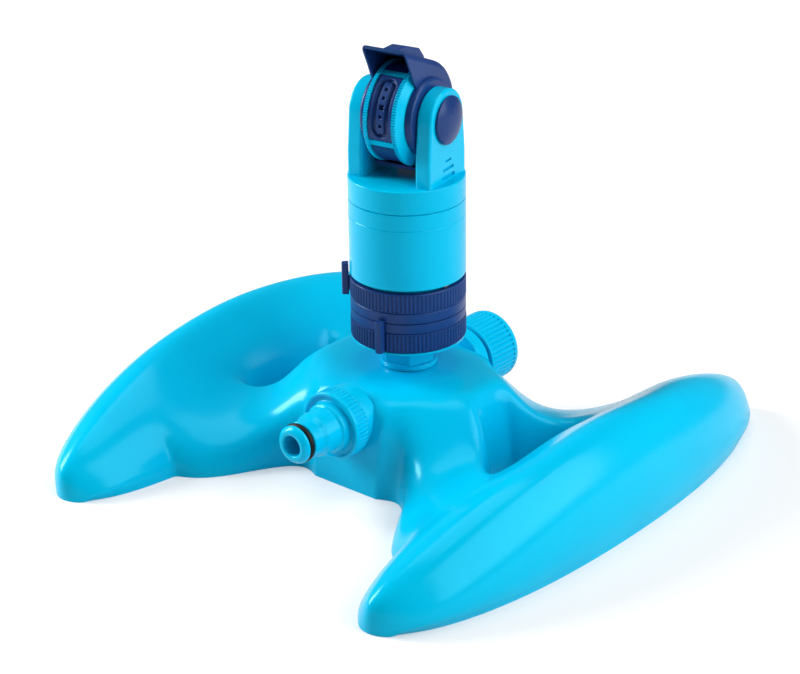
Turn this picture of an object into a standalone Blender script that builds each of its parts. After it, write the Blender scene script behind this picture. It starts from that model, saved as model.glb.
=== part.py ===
"""Rotary garden sprinkler with a fork head, a pattern drum and a two-runner base.

Metres, +Z up. The ground is z = 0, the tower stands on the Z axis, the water
pipe and the runners lie along Y, and the hose end faces -Y.
"""
import math

import bmesh
import bpy
from mathutils import Matrix

# Gap between touching pieces, how far a cutter runs past a face, how deep joined forms lap, small rounding
FIT = 0.0003
PAST = 0.001
LAP = 0.0005
EDGE = 0.0004
# How far a face is set in from a neighbour's so that the two never lie in one plane
TUCK = 0.0002
# Steps round a turned piece
BIG_STEPS = 28
MID_STEPS = 24
SMALL_STEPS = 16

# Base moulding: two runners, four arms, one pedestal
BASE_WALL = 0.0024
RUNNER_HALF_LENGTH = 0.1245
BASE_WIDTH = 0.2410
RUNNER_WIDTH = 0.0580
RUNNER_CREST_IN = 0.0178
RUNNER_TIP_IN = 0.0345
RUNNER_HEIGHT = 0.0484
PEDESTAL_TOP_Z = 0.0445
PEDESTAL_FRONT_Y = 0.0436
PEDESTAL_REAR_Y = 0.0370
PEDESTAL_CORNER_X = 0.0173
PEDESTAL_SIDE_X = 0.0440
HOLE_IN_RUNNER = 0.0065
HOLE_HALF_LENGTH = 0.0245
ARM_SADDLE_Z = 0.0246

# Across a runner: how far out from the crest line, and how high, in shares of the half width and height;
# last, the share of the roll that swells the flank above the ground edge
RUNNER_OUTER_ROWS = ((1.0, 0.0, 0.0), (1.0, 0.19, 1.0), (0.92, 0.50, 0.8), (0.60, 0.84, 0.3), (0.0, 1.0, 0.0))
RUNNER_INNER_ROWS = ((0.33, 0.89, 0.0), (0.66, 0.64, 0.1), (0.84, 0.40, 0.3), (0.95, 0.19, 1.0),
                     (1.0, 0.0, 0.0))
RUNNER_STATIONS = (0.0, 0.16, 0.34, 0.50, 0.66, 0.80, 0.90, 0.965)
CREST_ROW = len(RUNNER_OUTER_ROWS) - 1
SHOULDER_ROW = CREST_ROW + 2
GROUND_ROW = CREST_ROW + len(RUNNER_INNER_ROWS)
# Up an arm's side: how far in from the ground edge to the crest, and how high
ARM_FRONT_SHARES = ((0.0, 0.0), (0.05, 0.27), (0.16, 0.50), (0.48, 0.74), (1.0, 0.93))
ARM_REAR_SHARES = ((0.47, 1.0), (0.23, 0.72), (0.08, 0.35), (0.0, 0.0))
# A smoothed surface lies inside its cage, so the cage stands a little higher and its hollow a little deeper
CAGE_SWELL = 1.028
CAGE_SINK = 0.0011
SKIRT_DEPTH = 0.004
# Where an arm leaves the pedestal and meets the runner, beside their corners
ROOT_FRONT_OUT = 0.0100
ROOT_FRONT_BACK = 0.0050
ROOT_REAR_OUT = 0.0070
ROOT_REAR_Y = -0.0075
ROOT_CREST_IN = 0.0070
END_FRONT_OUT = 0.0015
END_FRONT_PAST = 0.002
END_CREST_OUT = 0.0080
# How far the pedestal's top edge leans back from its face, and its corners bulge
FACE_LEAN = 0.0052
FACE_STEP = 0.0010
FACE_BULGE = 0.0010
# Half a wall flute beside the arm's hollow: how far out and how high, from the top down
WALL_ROWS = ((0.0036, 0.67), (0.0056, 0.34), (0.0067, 0.0))
WALL_HALF_WIDTH = 0.0040
# Pedestal corners stay crisp from the top rows down to the ground
CORNER_KEYS = (("top", 3, 2), ("face", 0, 2), ("face", 1, 2), ("face", 2, 2))
CORNER_CREASE = 0.8

# Through pipe in the pedestal
PIPE_Z = 0.0325
PIPE_RADIUS = 0.0090
PIPE_BORE_RADIUS = 0.0050
SPIGOT_RADIUS = 0.0132
SPIGOT_BORE_RADIUS = 0.0100
BOSS_RADIUS = 0.0145
BOSS_STEP = 0.0015
BOSS_DEPTH = 0.0065
MOUTH_DEPTH = 0.0015

# Inlet connector
NUT_RADIUS = 0.0152
NUT_FRONT_Y = -0.0522
NUT_RIM = 0.0016
NUT_DISH_DEPTH = 0.0010
NUT_WEB = 0.0014
WASHER_THICKNESS = 0.0012
BARREL_RADIUS = 0.0112
BARREL_END_RADIUS = 0.0096
BARREL_END_Y = -0.0648
LAND_RADIUS = 0.0087
GROOVE_RADIUS = 0.0061
O_RING_SECTION = 0.0012
O_RING_Y = -0.0716
NOSE_RADIUS = 0.0084
NOSE_Y = -0.0762
INLET_BORE_RADIUS = 0.0046
STRAINER_DEPTH = 0.0040
STRAINER_SKIN = 0.0008
STRAINER_FLANGE = 0.0013
STRAINER_HOLE_RADIUS = 0.0012
STRAINER_RING_RADIUS = 0.0041

# Outlet cap
CAP_RADIUS = 0.0159
CAP_NEAR_Y = 0.0390
CAP_FAR_Y = 0.0577
CAP_END_WALL = 0.0022
CAP_ROUND = 0.0012
OUTLET_WASHER_BORE = 0.0060

# Riser screwed into the pedestal
STEM_RADIUS = 0.0075
STEM_BORE_RADIUS = 0.0052
STEM_RISE = 0.0087
RISER_FLANGE_RADIUS = 0.0125
RISER_FLANGE_HEIGHT = 0.0025
RISER_CORE_RADIUS = 0.0095
RISER_STUB_RADIUS = 0.0097
RISER_STUB_LENGTH = 0.0040
HEX_ACROSS_CORNERS = 0.0236
HEX_HEIGHT = 0.0104
HEX_CORNER_DEG = -49.0

# Collars that set the arc
TOWER_RADIUS = 0.0250
HUB_FLANGE_HEIGHT = 0.0010
LOWER_COLLAR_HEIGHT = 0.0133
UPPER_COLLAR_HEIGHT = 0.0135
COLLAR_SKIN = 0.0027
SLEEVE_WALL = 0.0013
HUB_WALL = 0.0022
THRUST_GAP = 0.0021
STOP_HEIGHT = 0.0026
STOP_WIDTH_DEG = 9.0
STOP_SPREAD_DEG = 297.6
TAB_HEIGHT = 0.0144
TAB_WIDTH = 0.0038
TAB_REACH = 0.0034
TAB_STEP = 0.0001
ROOT_HALF = 0.0011
ROOT_SINK = 0.0006
LOWER_TAB_DEG = -77.0
UPPER_TAB_DEG = -139.4
LOWER_TAB_RISE = 0.0002
UPPER_TAB_RISE = 0.0045

# Rotating housing with the gear train
HOUSING_GAP = 0.0017
HOUSING_WALL = 0.0022
HOUSING_FLOOR = 0.0025
HOUSING_HEIGHT = 0.0338
HOUSING_LEDGE_RISE = 0.0160
LEDGE_WIDTH = 0.0015
HOUSING_EDGE = 0.0006
SEAL_THICKNESS = 0.0012
SEAL_WIDTH = 0.0018
SUN_MODULE = 0.000825
SUN_TEETH = 24
OUTPUT_PINION_TEETH = 8
TRAIN_MODULE = 0.00055
WHEEL_TEETH = 24
PINION_TEETH = 8
GEAR_WIDTH = 0.0022
GEAR_GAP = 0.0006
SUN_WIDTH = 0.0030
PLATE_THICKNESS = 0.0016
JOURNAL_RADIUS = 0.0012
TURBINE_RADIUS = 0.0090
TURBINE_BLADES = 8
TURBINE_HUB_RADIUS = 0.0032
BLADE_GAP = 0.0009
BLADE_HALF_WIDTH = 0.0018
BLADE_HALF_SKIN = 0.0004
CUP_JET_RADIUS = 0.0008
CUP_JET_RING_RADIUS = 0.0038
CUP_WALL = 0.0012
OUTPUT_SHAFT_RADIUS = 0.0014
OUTPUT_GEAR_DEG = 200.0
TRIP_FROM_GEAR_DEG = 150.0
TRIP_PIVOT_RADIUS = 0.0142
TRIP_BOSS_RADIUS = 0.0022
TRIP_ARM_HALF = 0.0011
TRIP_SLOT_HALF = 0.0036
TRIP_ARM_THICKNESS = 0.0012
SCREW_OFFSETS_DEG = (-180.0, -70.0, 110.0)
SCREW_SHANK_RADIUS = 0.0011
SCREW_HEAD_RADIUS = 0.0020
SCREW_HEAD_HEIGHT = 0.0013
SCREW_HEAD_GAP = 0.0007
POST_RADIUS = 0.0024
WINDOW_RADIUS = 0.0026
WINDOW_OFFSETS_DEG = (-130.0, -20.0, 60.0)
THROAT_RADIUS = 0.0018
THROAT_RING_RADIUS = 0.0064

# Fork head
HEAD_YAW_DEG = 8.43
DECK_RISE = 0.0104
DECK_THICKNESS = 0.0026
DECK_EDGE = 0.0008
ARM_INNER_X = 0.0130
ARM_OUTER_X = 0.0203
ARM_SHOULDER_RISE = 0.0103
ARM_TOP_RADIUS = 0.0131
ARM_ROUND = 0.0012
PIVOT_RISE = 0.0264
DUCT_RADIUS = 0.0022
DUCT_X = 0.0163
AXLE_SEAT_X = 0.0186
PLUG_RADIUS = 0.0040
PANEL_RISE = 0.0008
PANEL_LOW_HALF = 0.0065
PANEL_HIGH_HALF = 0.0025
PANEL_HEIGHT = 0.0113
GROOVE_DEPTH = 0.0005
# Height above the deck and half width of the grooves across a panel
PANEL_GROOVES = ((0.0083, 0.0021), (0.0051, 0.0039), (0.0016, 0.0047))

# Pattern drum
DRUM_RADIUS = 0.0214
DRUM_RIM_X = 0.0077
DRUM_RIM_INNER_X = 0.0060
DRUM_CONE_RADIUS = 0.0169
DRUM_CONE_X = 0.0094
AXLE_RADIUS = 0.0060
AXLE_BORE_RADIUS = 0.0040
AXLE_END_WALL = 0.0020
DRUM_HUB_WALL = 0.0016
PATTERN_COUNT = 4
DRUM_REST_DEG = 21.5
BAR_ANGLE_DEG = 7.0
PLATE_SKIN = 0.0018
PLATE_SINK = 0.0007
JET_RADIUS = 0.0007
JET_PITCH_DEG = 11.1
FLOWER_RADIUS = 0.0008
ROW_HALF_DEG = 36.0
ROW_RIB_HALF = 0.0017
ROW_HALF_WIDTH = 0.0036
ROW_GROOVE_DEPTH = 0.0005
SHOWER_PITCH_DEG = 12.0
SHOWER_PITCH = 0.0028
CONE_RING_RADIUS = 0.0034
SLIT_HALF_WIDTH = 0.0004
SLIT_HALF_LENGTH = 0.0038

# Hood
HOOD_GAP = 0.0004
HOOD_SKIN = 0.0013
CHEEK_SKIN = 0.0009
HOOD_DISC_RADIUS = 0.0165
HOOD_LIP_Y = -0.0173
HOOD_LIP_Z = 0.0323
HOOD_TAIL_DEG = -67.0
HOOD_ROUND = 0.0027
RIB_HALF = 0.0032
RIB_FRONT_Y = -0.0130
# Points across the pivot axis, to the rear and up: a cheek's front edge, and the rib's crest
HOOD_FRONT_EDGE = [(-0.0040, -0.0080), (-0.0040, 0.0080), (-0.0100, 0.0170), (-0.0123, 0.0222)]
RIB_CREST = [(-0.0115, 0.0304), (-0.0050, 0.0304), (0.0065, 0.0264), (0.0100, 0.0222), (0.0108, 0.0197)]
HUB_CAP_RADIUS = 0.0103
HUB_CAP_HEIGHT = 0.0031
HUB_CAP_RIM = 0.0008


def polar(radius, degrees):
    """A point in the plane at an angle from +X."""
    return radius * math.cos(math.radians(degrees)), radius * math.sin(math.radians(degrees))


def toward(a, b):
    """Angle in degrees from point a to point b."""
    return math.degrees(math.atan2(b[1] - a[1], b[0] - a[0]))


# Sizes that follow from the ones above, from the ground up
RUNNER_OUTER_X = BASE_WIDTH / 2
RUNNER_INNER_X = RUNNER_OUTER_X - RUNNER_WIDTH
RUNNER_CREST_X = RUNNER_OUTER_X - RUNNER_CREST_IN
RUNNER_TIP_X = RUNNER_OUTER_X - RUNNER_TIP_IN
HOLE_OUTER_X = RUNNER_INNER_X + HOLE_IN_RUNNER
RISER_FLANGE_TOP_Z = PEDESTAL_TOP_Z + RISER_FLANGE_HEIGHT
HEX_TOP_Z = RISER_FLANGE_TOP_Z + HEX_HEIGHT
HUB_BOTTOM_Z = HEX_TOP_Z + FIT
HUB_FLANGE_TOP_Z = HUB_BOTTOM_Z + HUB_FLANGE_HEIGHT
COLLAR_BOTTOM_Z = HUB_FLANGE_TOP_Z + FIT
COLLAR_SPLIT_Z = COLLAR_BOTTOM_Z + LOWER_COLLAR_HEIGHT
COLLAR_TOP_Z = COLLAR_SPLIT_Z + UPPER_COLLAR_HEIGHT
LOWER_TAB_BASE_Z = COLLAR_BOTTOM_Z + LOWER_TAB_RISE
UPPER_TAB_BASE_Z = COLLAR_SPLIT_Z + UPPER_TAB_RISE
HOUSING_BOTTOM_Z = COLLAR_TOP_Z + HOUSING_GAP
HOUSING_LEDGE_Z = HOUSING_BOTTOM_Z + HOUSING_LEDGE_RISE
HOUSING_TOP_Z = HOUSING_BOTTOM_Z + HOUSING_HEIGHT
STEM_TOP_Z = HOUSING_BOTTOM_Z + STEM_RISE
PLATE_BOTTOM_Z = HOUSING_LEDGE_Z + FIT
DECK_Z = HOUSING_TOP_Z + DECK_RISE
ARM_SHOULDER_Z = DECK_Z + ARM_SHOULDER_RISE
PANEL_TOP_Z = DECK_Z + PANEL_HEIGHT
PIVOT_Z = DECK_Z + PIVOT_RISE
BOSS_FRONT_Y = PEDESTAL_FRONT_Y + 0.0002
BOSS_REAR_Y = PEDESTAL_REAR_Y + BOSS_STEP
INLET_FACE = -NUT_FRONT_Y
INLET_WEB_BACK = INLET_FACE - NUT_DISH_DEPTH - NUT_WEB
INLET_WASHER_FRONT = INLET_WEB_BACK - FIT
INLET_SPIGOT_END = INLET_WASHER_FRONT - WASHER_THICKNESS - FIT
OUTLET_WASHER_BACK = CAP_FAR_Y - CAP_END_WALL - FIT
OUTLET_SPIGOT_END = OUTLET_WASHER_BACK - WASHER_THICKNESS - FIT
SOCKET_RADIUS = RISER_STUB_RADIUS + FIT
RISER_FLANGE_BOTTOM_Z = PEDESTAL_TOP_Z + FIT
RISER_BOTTOM_Z = RISER_FLANGE_BOTTOM_Z - RISER_STUB_LENGTH
RISER_SEAL_BOTTOM_Z = RISER_BOTTOM_Z - FIT - WASHER_THICKNESS
SOCKET_FLOOR_Z = RISER_SEAL_BOTTOM_Z - FIT
HUB_TOP_Z = HOUSING_BOTTOM_Z - THRUST_GAP
UPPER_BORE_RADIUS = TOWER_RADIUS - COLLAR_SKIN
SLEEVE_OUTER_RADIUS = UPPER_BORE_RADIUS - FIT
SLEEVE_INNER_RADIUS = SLEEVE_OUTER_RADIUS - SLEEVE_WALL
HUB_RADIUS = SLEEVE_INNER_RADIUS - FIT
STEM_BORE = STEM_RADIUS + FIT
STOP_TOP_Z = COLLAR_TOP_Z - FIT
SLEEVE_TOP_Z = STOP_TOP_Z - STOP_HEIGHT - FIT * 2
LOWER_PLATE_TOP_Z = PLATE_BOTTOM_Z + PLATE_THICKNESS
WHEEL_Z = LOWER_PLATE_TOP_Z + GEAR_GAP
UPPER_WHEEL_Z = WHEEL_Z + GEAR_WIDTH + GEAR_GAP
UPPER_PLATE_Z = UPPER_WHEEL_Z + GEAR_WIDTH + GEAR_GAP
UPPER_PLATE_TOP_Z = UPPER_PLATE_Z + PLATE_THICKNESS
FLOOR_TOP_Z = HOUSING_BOTTOM_Z + HOUSING_FLOOR
SUN_Z = FLOOR_TOP_Z + FIT + SEAL_THICKNESS + FIT
CUP_FLOOR_Z = STEM_TOP_Z + FIT
CUP_FLOOR_TOP_Z = CUP_FLOOR_Z + PLATE_THICKNESS
CUP_TOP_Z = PLATE_BOTTOM_Z - FIT
CUP_RADIUS = TURBINE_RADIUS + BLADE_GAP + CUP_WALL
STAGE_CENTRES = (WHEEL_TEETH + PINION_TEETH) * TRAIN_MODULE / 2
OUTPUT_CENTRES = (SUN_TEETH + OUTPUT_PINION_TEETH) * SUN_MODULE / 2
OUTPUT_AT = polar(OUTPUT_CENTRES, OUTPUT_GEAR_DEG)
COMPOUND_DEG = OUTPUT_GEAR_DEG + math.degrees(math.acos(OUTPUT_CENTRES / 2 / STAGE_CENTRES))
COMPOUND_AT = polar(STAGE_CENTRES, COMPOUND_DEG)
HOUSING_BORE_RADIUS = TOWER_RADIUS - HOUSING_WALL
PLATE_RADIUS = HOUSING_BORE_RADIUS - FIT
TRIP_DEG = OUTPUT_GEAR_DEG + TRIP_FROM_GEAR_DEG
FORK_SLEEVE_RADIUS = HOUSING_BORE_RADIUS - FIT
SCREW_CIRCLE_RADIUS = FORK_SLEEVE_RADIUS - HOUSING_WALL - SCREW_HEAD_RADIUS - SCREW_HEAD_GAP
LOWER_STOP_DEG = HEAD_YAW_DEG + TRIP_DEG + STOP_SPREAD_DEG / 2
UPPER_STOP_DEG = HEAD_YAW_DEG + TRIP_DEG - STOP_SPREAD_DEG / 2
# The corners of an arm's foot stand on the rim of the deck
ARM_BASE_HALF = math.sqrt(TOWER_RADIUS ** 2 - ARM_OUTER_X ** 2)
PLATE_OUTER_RADIUS = DRUM_RADIUS - PLATE_SINK
HOOD_RADIUS = DRUM_RADIUS + HOOD_GAP + HOOD_SKIN
HOOD_HALF_WIDTH = DRUM_CONE_X + FIT + CHEEK_SKIN
HOOD_DISC_X = ARM_INNER_X - FIT

FINISHES = {
    "cyan": ((0.0, 0.42, 0.71), 0.22, 0.0),
    "navy": ((0.020, 0.036, 0.16), 0.35, 0.0),
    "black_rubber": ((0.012, 0.012, 0.013), 0.6, 0.0),
    "white_acetal": ((0.80, 0.80, 0.77), 0.4, 0.0),
    "steel": ((0.55, 0.56, 0.57), 0.3, 1.0),
}

for scene_object in list(bpy.data.objects):
    bpy.data.objects.remove(scene_object, do_unlink=True)

PARTS = bpy.data.collections.new("rotary_sprinkler")
CUTTERS = bpy.data.collections.new("cutters")
for new_collection in (PARTS, CUTTERS):
    bpy.context.scene.collection.children.link(new_collection)


def add_object(name, data, finish, parent=None):
    """Link an object as a finished part, or as a hidden cutter where finish is None."""
    obj = bpy.data.objects.new(name, data)
    obj.parent = parent
    if finish is None:
        CUTTERS.objects.link(obj)
        obj.hide_render = True
        obj.display_type = "WIRE"
        return obj
    PARTS.objects.link(obj)
    colour, roughness, metallic = FINISHES[finish]
    material = bpy.data.materials.new(name)
    material.use_nodes = True
    shader = material.node_tree.nodes["Principled BSDF"]
    shader.inputs["Base Color"].default_value = (*colour, 1.0)
    shader.inputs["Roughness"].default_value = roughness
    shader.inputs["Metallic"].default_value = metallic
    data.materials.append(material)
    return obj


def axis_empty(name, location, rotation=(0.0, 0.0, 0.0), parent=None):
    """An empty that carries the pieces of one turning axis."""
    empty = bpy.data.objects.new(name, None)
    empty.location = location
    empty.rotation_euler = rotation
    empty.parent = parent
    PARTS.objects.link(empty)
    return empty


def mesh_from_bmesh(name, bm):
    mesh = bpy.data.meshes.new(name)
    bm.to_mesh(mesh)
    bm.free()
    return mesh


def smooth(obj, angle_deg=35.0):
    """Shade a round piece smooth and keep its real edges sharp."""
    obj.data.shade_smooth()
    obj.data.set_sharp_from_angle(angle=math.radians(angle_deg))


def box(name, low, high, finish=None, parent=None):
    """A box between two corners."""
    bm = bmesh.new()
    size = [b - a for a, b in zip(low, high)]
    centre = [(a + b) / 2 for a, b in zip(low, high)]
    matrix = Matrix.Translation(centre) @ Matrix.Diagonal((*size, 1.0))
    bmesh.ops.create_cube(bm, size=1.0, matrix=matrix)
    return add_object(name, mesh_from_bmesh(name, bm), finish, parent)


def cylinder(name, radius, low, high, finish=None, parent=None, steps=SMALL_STEPS, centre=(0.0, 0.0)):
    """A cylinder along local Z from low to high."""
    bm = bmesh.new()
    matrix = Matrix.Translation((*centre, (low + high) / 2))
    bmesh.ops.create_cone(bm, cap_ends=True, segments=steps, radius1=radius, radius2=radius,
                          depth=high - low, matrix=matrix)
    return add_object(name, mesh_from_bmesh(name, bm), finish, parent)


def turned(name, profile, finish=None, parent=None, steps=BIG_STEPS):
    """Turn a profile of (radius, height) about local Z; one that starts on the axis stays open."""
    count = len(profile)
    solid = profile[0][0] == 0.0
    edges = [(i, (i + 1) % count) for i in range(count - 1 if solid else count)]
    mesh = bpy.data.meshes.new(name)
    mesh.from_pydata([(radius, 0.0, height) for radius, height in profile], edges, [])
    obj = add_object(name, mesh, finish, parent)
    screw = obj.modifiers.new("turn", "SCREW")
    screw.steps = steps
    screw.render_steps = steps
    screw.use_merge_vertices = True
    screw.merge_threshold = 0.00001
    screw.use_smooth_shade = True
    return obj


def prism(name, outline, low, high, finish=None, parent=None):
    """A flat outline in local XY, filled and given its thickness along local Z."""
    curve = bpy.data.curves.new(name, "CURVE")
    curve.dimensions = "2D"
    curve.fill_mode = "BOTH"
    curve.extrude = (high - low) / 2
    spline = curve.splines.new("POLY")
    spline.points.add(len(outline) - 1)
    for point, (x, y) in zip(spline.points, outline):
        point.co = (x, y, 0.0, 1.0)
    spline.use_cyclic_u = True
    flat = bpy.data.objects.new(name + "_outline", curve)
    CUTTERS.objects.link(flat)
    depsgraph = bpy.context.evaluated_depsgraph_get()
    mesh = bpy.data.meshes.new_from_object(flat.evaluated_get(depsgraph))
    bm = bmesh.new()
    bm.from_mesh(mesh)
    bmesh.ops.remove_doubles(bm, verts=bm.verts, dist=0.000001)
    bmesh.ops.translate(bm, verts=bm.verts, vec=(0.0, 0.0, (low + high) / 2))
    bmesh.ops.recalc_face_normals(bm, faces=bm.faces)
    bpy.data.objects.remove(flat, do_unlink=True)
    return add_object(name, mesh_from_bmesh(name, bm), finish, parent)


def boolean(obj, tool, operation):
    modifier = obj.modifiers.new(operation.lower() + "_" + tool.name, "BOOLEAN")
    modifier.operation = operation
    modifier.object = tool
    return modifier


def cut(obj, *tools):
    for tool in tools:
        boolean(obj, tool, "DIFFERENCE")


def join(obj, *tools):
    for tool in tools:
        boolean(obj, tool, "UNION")


def bevel(obj, width, segments=2, angle_deg=40.0):
    modifier = obj.modifiers.new("edges", "BEVEL")
    modifier.width = width
    modifier.segments = segments
    modifier.limit_method = "ANGLE"
    modifier.angle_limit = math.radians(angle_deg)
    return modifier


def runner_section(share):
    """Outer edge, inner edge, crest line and height of a runner at a share of its half length."""
    fullness = math.sqrt(1.0 - share ** 2.25)
    outer = RUNNER_TIP_X + (RUNNER_OUTER_X - RUNNER_TIP_X) * fullness
    inner = RUNNER_TIP_X - (RUNNER_TIP_X - RUNNER_INNER_X) * math.sqrt(1.0 - share ** 4.6)
    crest = RUNNER_TIP_X + (RUNNER_CREST_X - RUNNER_TIP_X) * (1.0 - share ** 2.6)
    height = RUNNER_HEIGHT * (1.0 - share ** 1.75) ** 0.46
    return outer, inner, crest, height


def runner_points():
    """Cage points of a quarter runner, keyed by station and row."""
    points = {}
    for station, share in enumerate(RUNNER_STATIONS):
        outer, inner, crest, height = runner_section(share)
        along = share * RUNNER_HALF_LENGTH
        nose = 0.014 * share ** 10
        outer_roll = 0.0020 + 0.0032 * share ** 2
        inner_roll = 0.0040 * share ** 6
        rows = [(crest + (outer - crest) * a + outer_roll * c, a, b) for a, b, c in RUNNER_OUTER_ROWS]
        rows += [(crest - (crest - inner) * a - inner_roll * c, a, b) for a, b, c in RUNNER_INNER_ROWS]
        for row, (x, a, b) in enumerate(rows):
            points["runner", station, row] = (x, -along - nose * (1.0 - a * a), height * b * CAGE_SWELL)
    last = len(RUNNER_STATIONS)
    outer, inner, crest, height = runner_section(0.970)
    middle = (outer + inner) / 2
    half = (outer - inner) / 2
    for row in range(GROUND_ROW + 1):
        turn = math.pi * row / GROUND_ROW
        along = RUNNER_HALF_LENGTH * (0.974 + 0.052 * math.sin(turn) ** 0.8)
        points["runner", last, row] = (middle + half * math.cos(turn), -along, 0.0)
    hole_rows = ((SHOULDER_ROW - 1, 0.021, 0.85, 1.62), (SHOULDER_ROW, 0.0085, 0.67, 1.36),
                 (SHOULDER_ROW + 1, 0.0040, 0.46, 1.22), (SHOULDER_ROW + 2, 0.0010, 0.24, 1.08),
                 (GROUND_ROW, 0.0, 0.0, 1.0))
    for row, lean, rise, spread in hole_rows:
        for station, along in enumerate((0.0, 0.52, 1.0)):
            height = RUNNER_HEIGHT * rise * (1.0 - 0.09 * along)
            points["runner", station, row] = (HOLE_OUTER_X + lean, -HOLE_HALF_LENGTH * along * spread, height)
    return points


def arm_points(face_y):
    """Cage points of one arm, keyed by line across and station, from the pedestal to the runner."""
    corner_x = PEDESTAL_CORNER_X
    side_x = PEDESTAL_SIDE_X
    top = PEDESTAL_TOP_Z
    root_front = (corner_x + ROOT_FRONT_OUT, -face_y + ROOT_FRONT_BACK)
    root_rear = (side_x + ROOT_REAR_OUT, ROOT_REAR_Y)
    root_crest = (side_x - ROOT_CREST_IN, -face_y * 0.46)
    end_front = (RUNNER_INNER_X + END_FRONT_OUT, -RUNNER_STATIONS[4] * RUNNER_HALF_LENGTH - END_FRONT_PAST)
    end_rear = (HOLE_OUTER_X, -HOLE_HALF_LENGTH)
    end_crest = (HOLE_OUTER_X + END_CREST_OUT, -RUNNER_STATIONS[3] * RUNNER_HALF_LENGTH)
    points = {
        ("arm", 0, 0): (*root_front, 0.0),
        ("arm", 1, 0): (root_front[0] - 0.0002, root_front[1] + 0.0010, top * 0.32),
        ("arm", 2, 0): (root_front[0] - 0.0003, root_front[1] + 0.0030, top * 0.65),
        ("arm", 3, 0): (root_front[0] + 0.0005, root_front[1] + 0.0080, top * 0.92),
        ("arm", 4, 0): (*root_crest, top * 0.985),
        ("arm", 5, 0): (root_rear[0] - 0.0065, root_rear[1] - 0.0015, top * 0.97),
        ("arm", 6, 0): (root_rear[0] - 0.0030, root_rear[1] - 0.0008, top * 0.67),
        ("arm", 7, 0): (root_rear[0] - 0.0010, root_rear[1] - 0.0003, top * 0.34),
        ("arm", 8, 0): (*root_rear, 0.0),
    }
    front_along = ((0.25, 0.21), (0.46, 0.54), (0.71, 0.85))
    crest_along = ((0.28, 0.02), (0.48, 0.17), (0.75, 0.48))
    rear_along = ((0.17, 0.06), (0.42, 0.42), (0.67, 0.80))
    heights = (top * 0.79, ARM_SADDLE_Z * 1.01, ARM_SADDLE_Z * 0.96)
    for station in range(3):
        front, crest, rear = [
            (a[0] + (b[0] - a[0]) * share[station][0], a[1] + (b[1] - a[1]) * share[station][1])
            for a, b, share in ((root_front, end_front, front_along), (root_crest, end_crest, crest_along),
                                (root_rear, end_rear, rear_along))]
        lines = [(front, inward, rise) for inward, rise in ARM_FRONT_SHARES]
        lines += [(rear, inward, rise) for inward, rise in ARM_REAR_SHARES]
        for line, (edge, inward, rise) in enumerate(lines):
            x = edge[0] + (crest[0] - edge[0]) * inward
            y = edge[1] + (crest[1] - edge[1]) * inward
            points["arm", line, station + 1] = (x, y, heights[station] * rise * CAGE_SWELL)
    return points


def pedestal_points(face_y):
    """Cage points of a quarter pedestal: top rows, the face below them and the wall to the hole."""
    top = PEDESTAL_TOP_Z
    side_x = PEDESTAL_SIDE_X
    corner_x = PEDESTAL_CORNER_X
    columns = (0.0, side_x * 0.27, side_x * 0.54, side_x * 0.80, side_x)
    droop = (1.0, 1.0, 1.0, 0.995, 0.97)
    row_shares = ((0.0, 0.0, 0.0, 0.0, 0.0), (0.30, 0.285, 0.22, 0.15, 0.10), (0.62, 0.60, 0.47, 0.33, None))
    points = {}
    for row, shares in enumerate(row_shares):
        for column, share in enumerate(shares):
            if share is not None:
                points["top", row, column] = (columns[column], -face_y * share, top * droop[column])
    front_x = (0.0, corner_x * 0.55, corner_x)
    for column, x in enumerate(front_x):
        bulge = FACE_BULGE if column == 2 else 0.0
        points["top", 3, column] = (x + bulge * 2, -face_y + FACE_LEAN + bulge, top * 0.965)
        points["face", 0, column] = (x + bulge * 2, -face_y + FACE_STEP + bulge, top * 0.72)
        points["face", 1, column] = (x + bulge, -face_y + (FACE_STEP + bulge) * 0.3, top * 0.36)
        points["face", 2, column] = (x, -face_y, 0.0)
    for row, (lean, rise) in enumerate(WALL_ROWS):
        points["wall", row, 0] = (side_x + lean, 0.0, top * rise)
        points["wall", row, 1] = (side_x + lean, -WALL_HALF_WIDTH, top * rise)
    return points


def shared_key(key):
    """Cage corners where two regions meet have one name."""
    kind, row, column = key
    if kind == "face" and row == -1:
        kind, row = "top", 3
    if kind == "wall" and row == -1:
        kind, row, column = "top", column, 4
    if kind == "face" and column == 3:
        return "arm", 2 - row, 0
    if kind == "wall" and column == 2:
        return "arm", 6 + row, 0
    seams = {("top", 2, 4): ("arm", 5, 0), ("top", 3, 3): ("arm", 3, 0), ("top", 3, 4): ("arm", 4, 0)}
    return seams.get((kind, row, column), (kind, row, column))


def quarter_faces():
    """Quads of the quarter cage, as four keys each."""
    def grid(kind, rows, columns, skip=()):
        return [[(kind, r, c), (kind, r, c + 1), (kind, r + 1, c + 1), (kind, r + 1, c)]
                for r in rows for c in columns if (r, c) not in skip]

    opening = [(r, c) for r in (2, 3) for c in range(SHOULDER_ROW, GROUND_ROW)]
    faces = grid("runner", range(len(RUNNER_STATIONS)), range(GROUND_ROW), opening)
    faces += grid("arm", range(8), range(3))
    faces += grid("top", range(3), range(4))
    faces += grid("face", range(-1, 2), range(3))
    faces += grid("wall", range(-1, 2), range(2))
    front = [("runner", 4, row) for row in range(GROUND_ROW, SHOULDER_ROW - 1, -1)]
    rear = [("runner", 2, row) for row in range(SHOULDER_ROW, GROUND_ROW + 1)]
    junction = front + [("runner", 3, SHOULDER_ROW)] + rear
    faces += [[("arm", k, 3), ("arm", k + 1, 3), junction[k + 1], junction[k]] for k in range(8)]
    return faces


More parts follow.
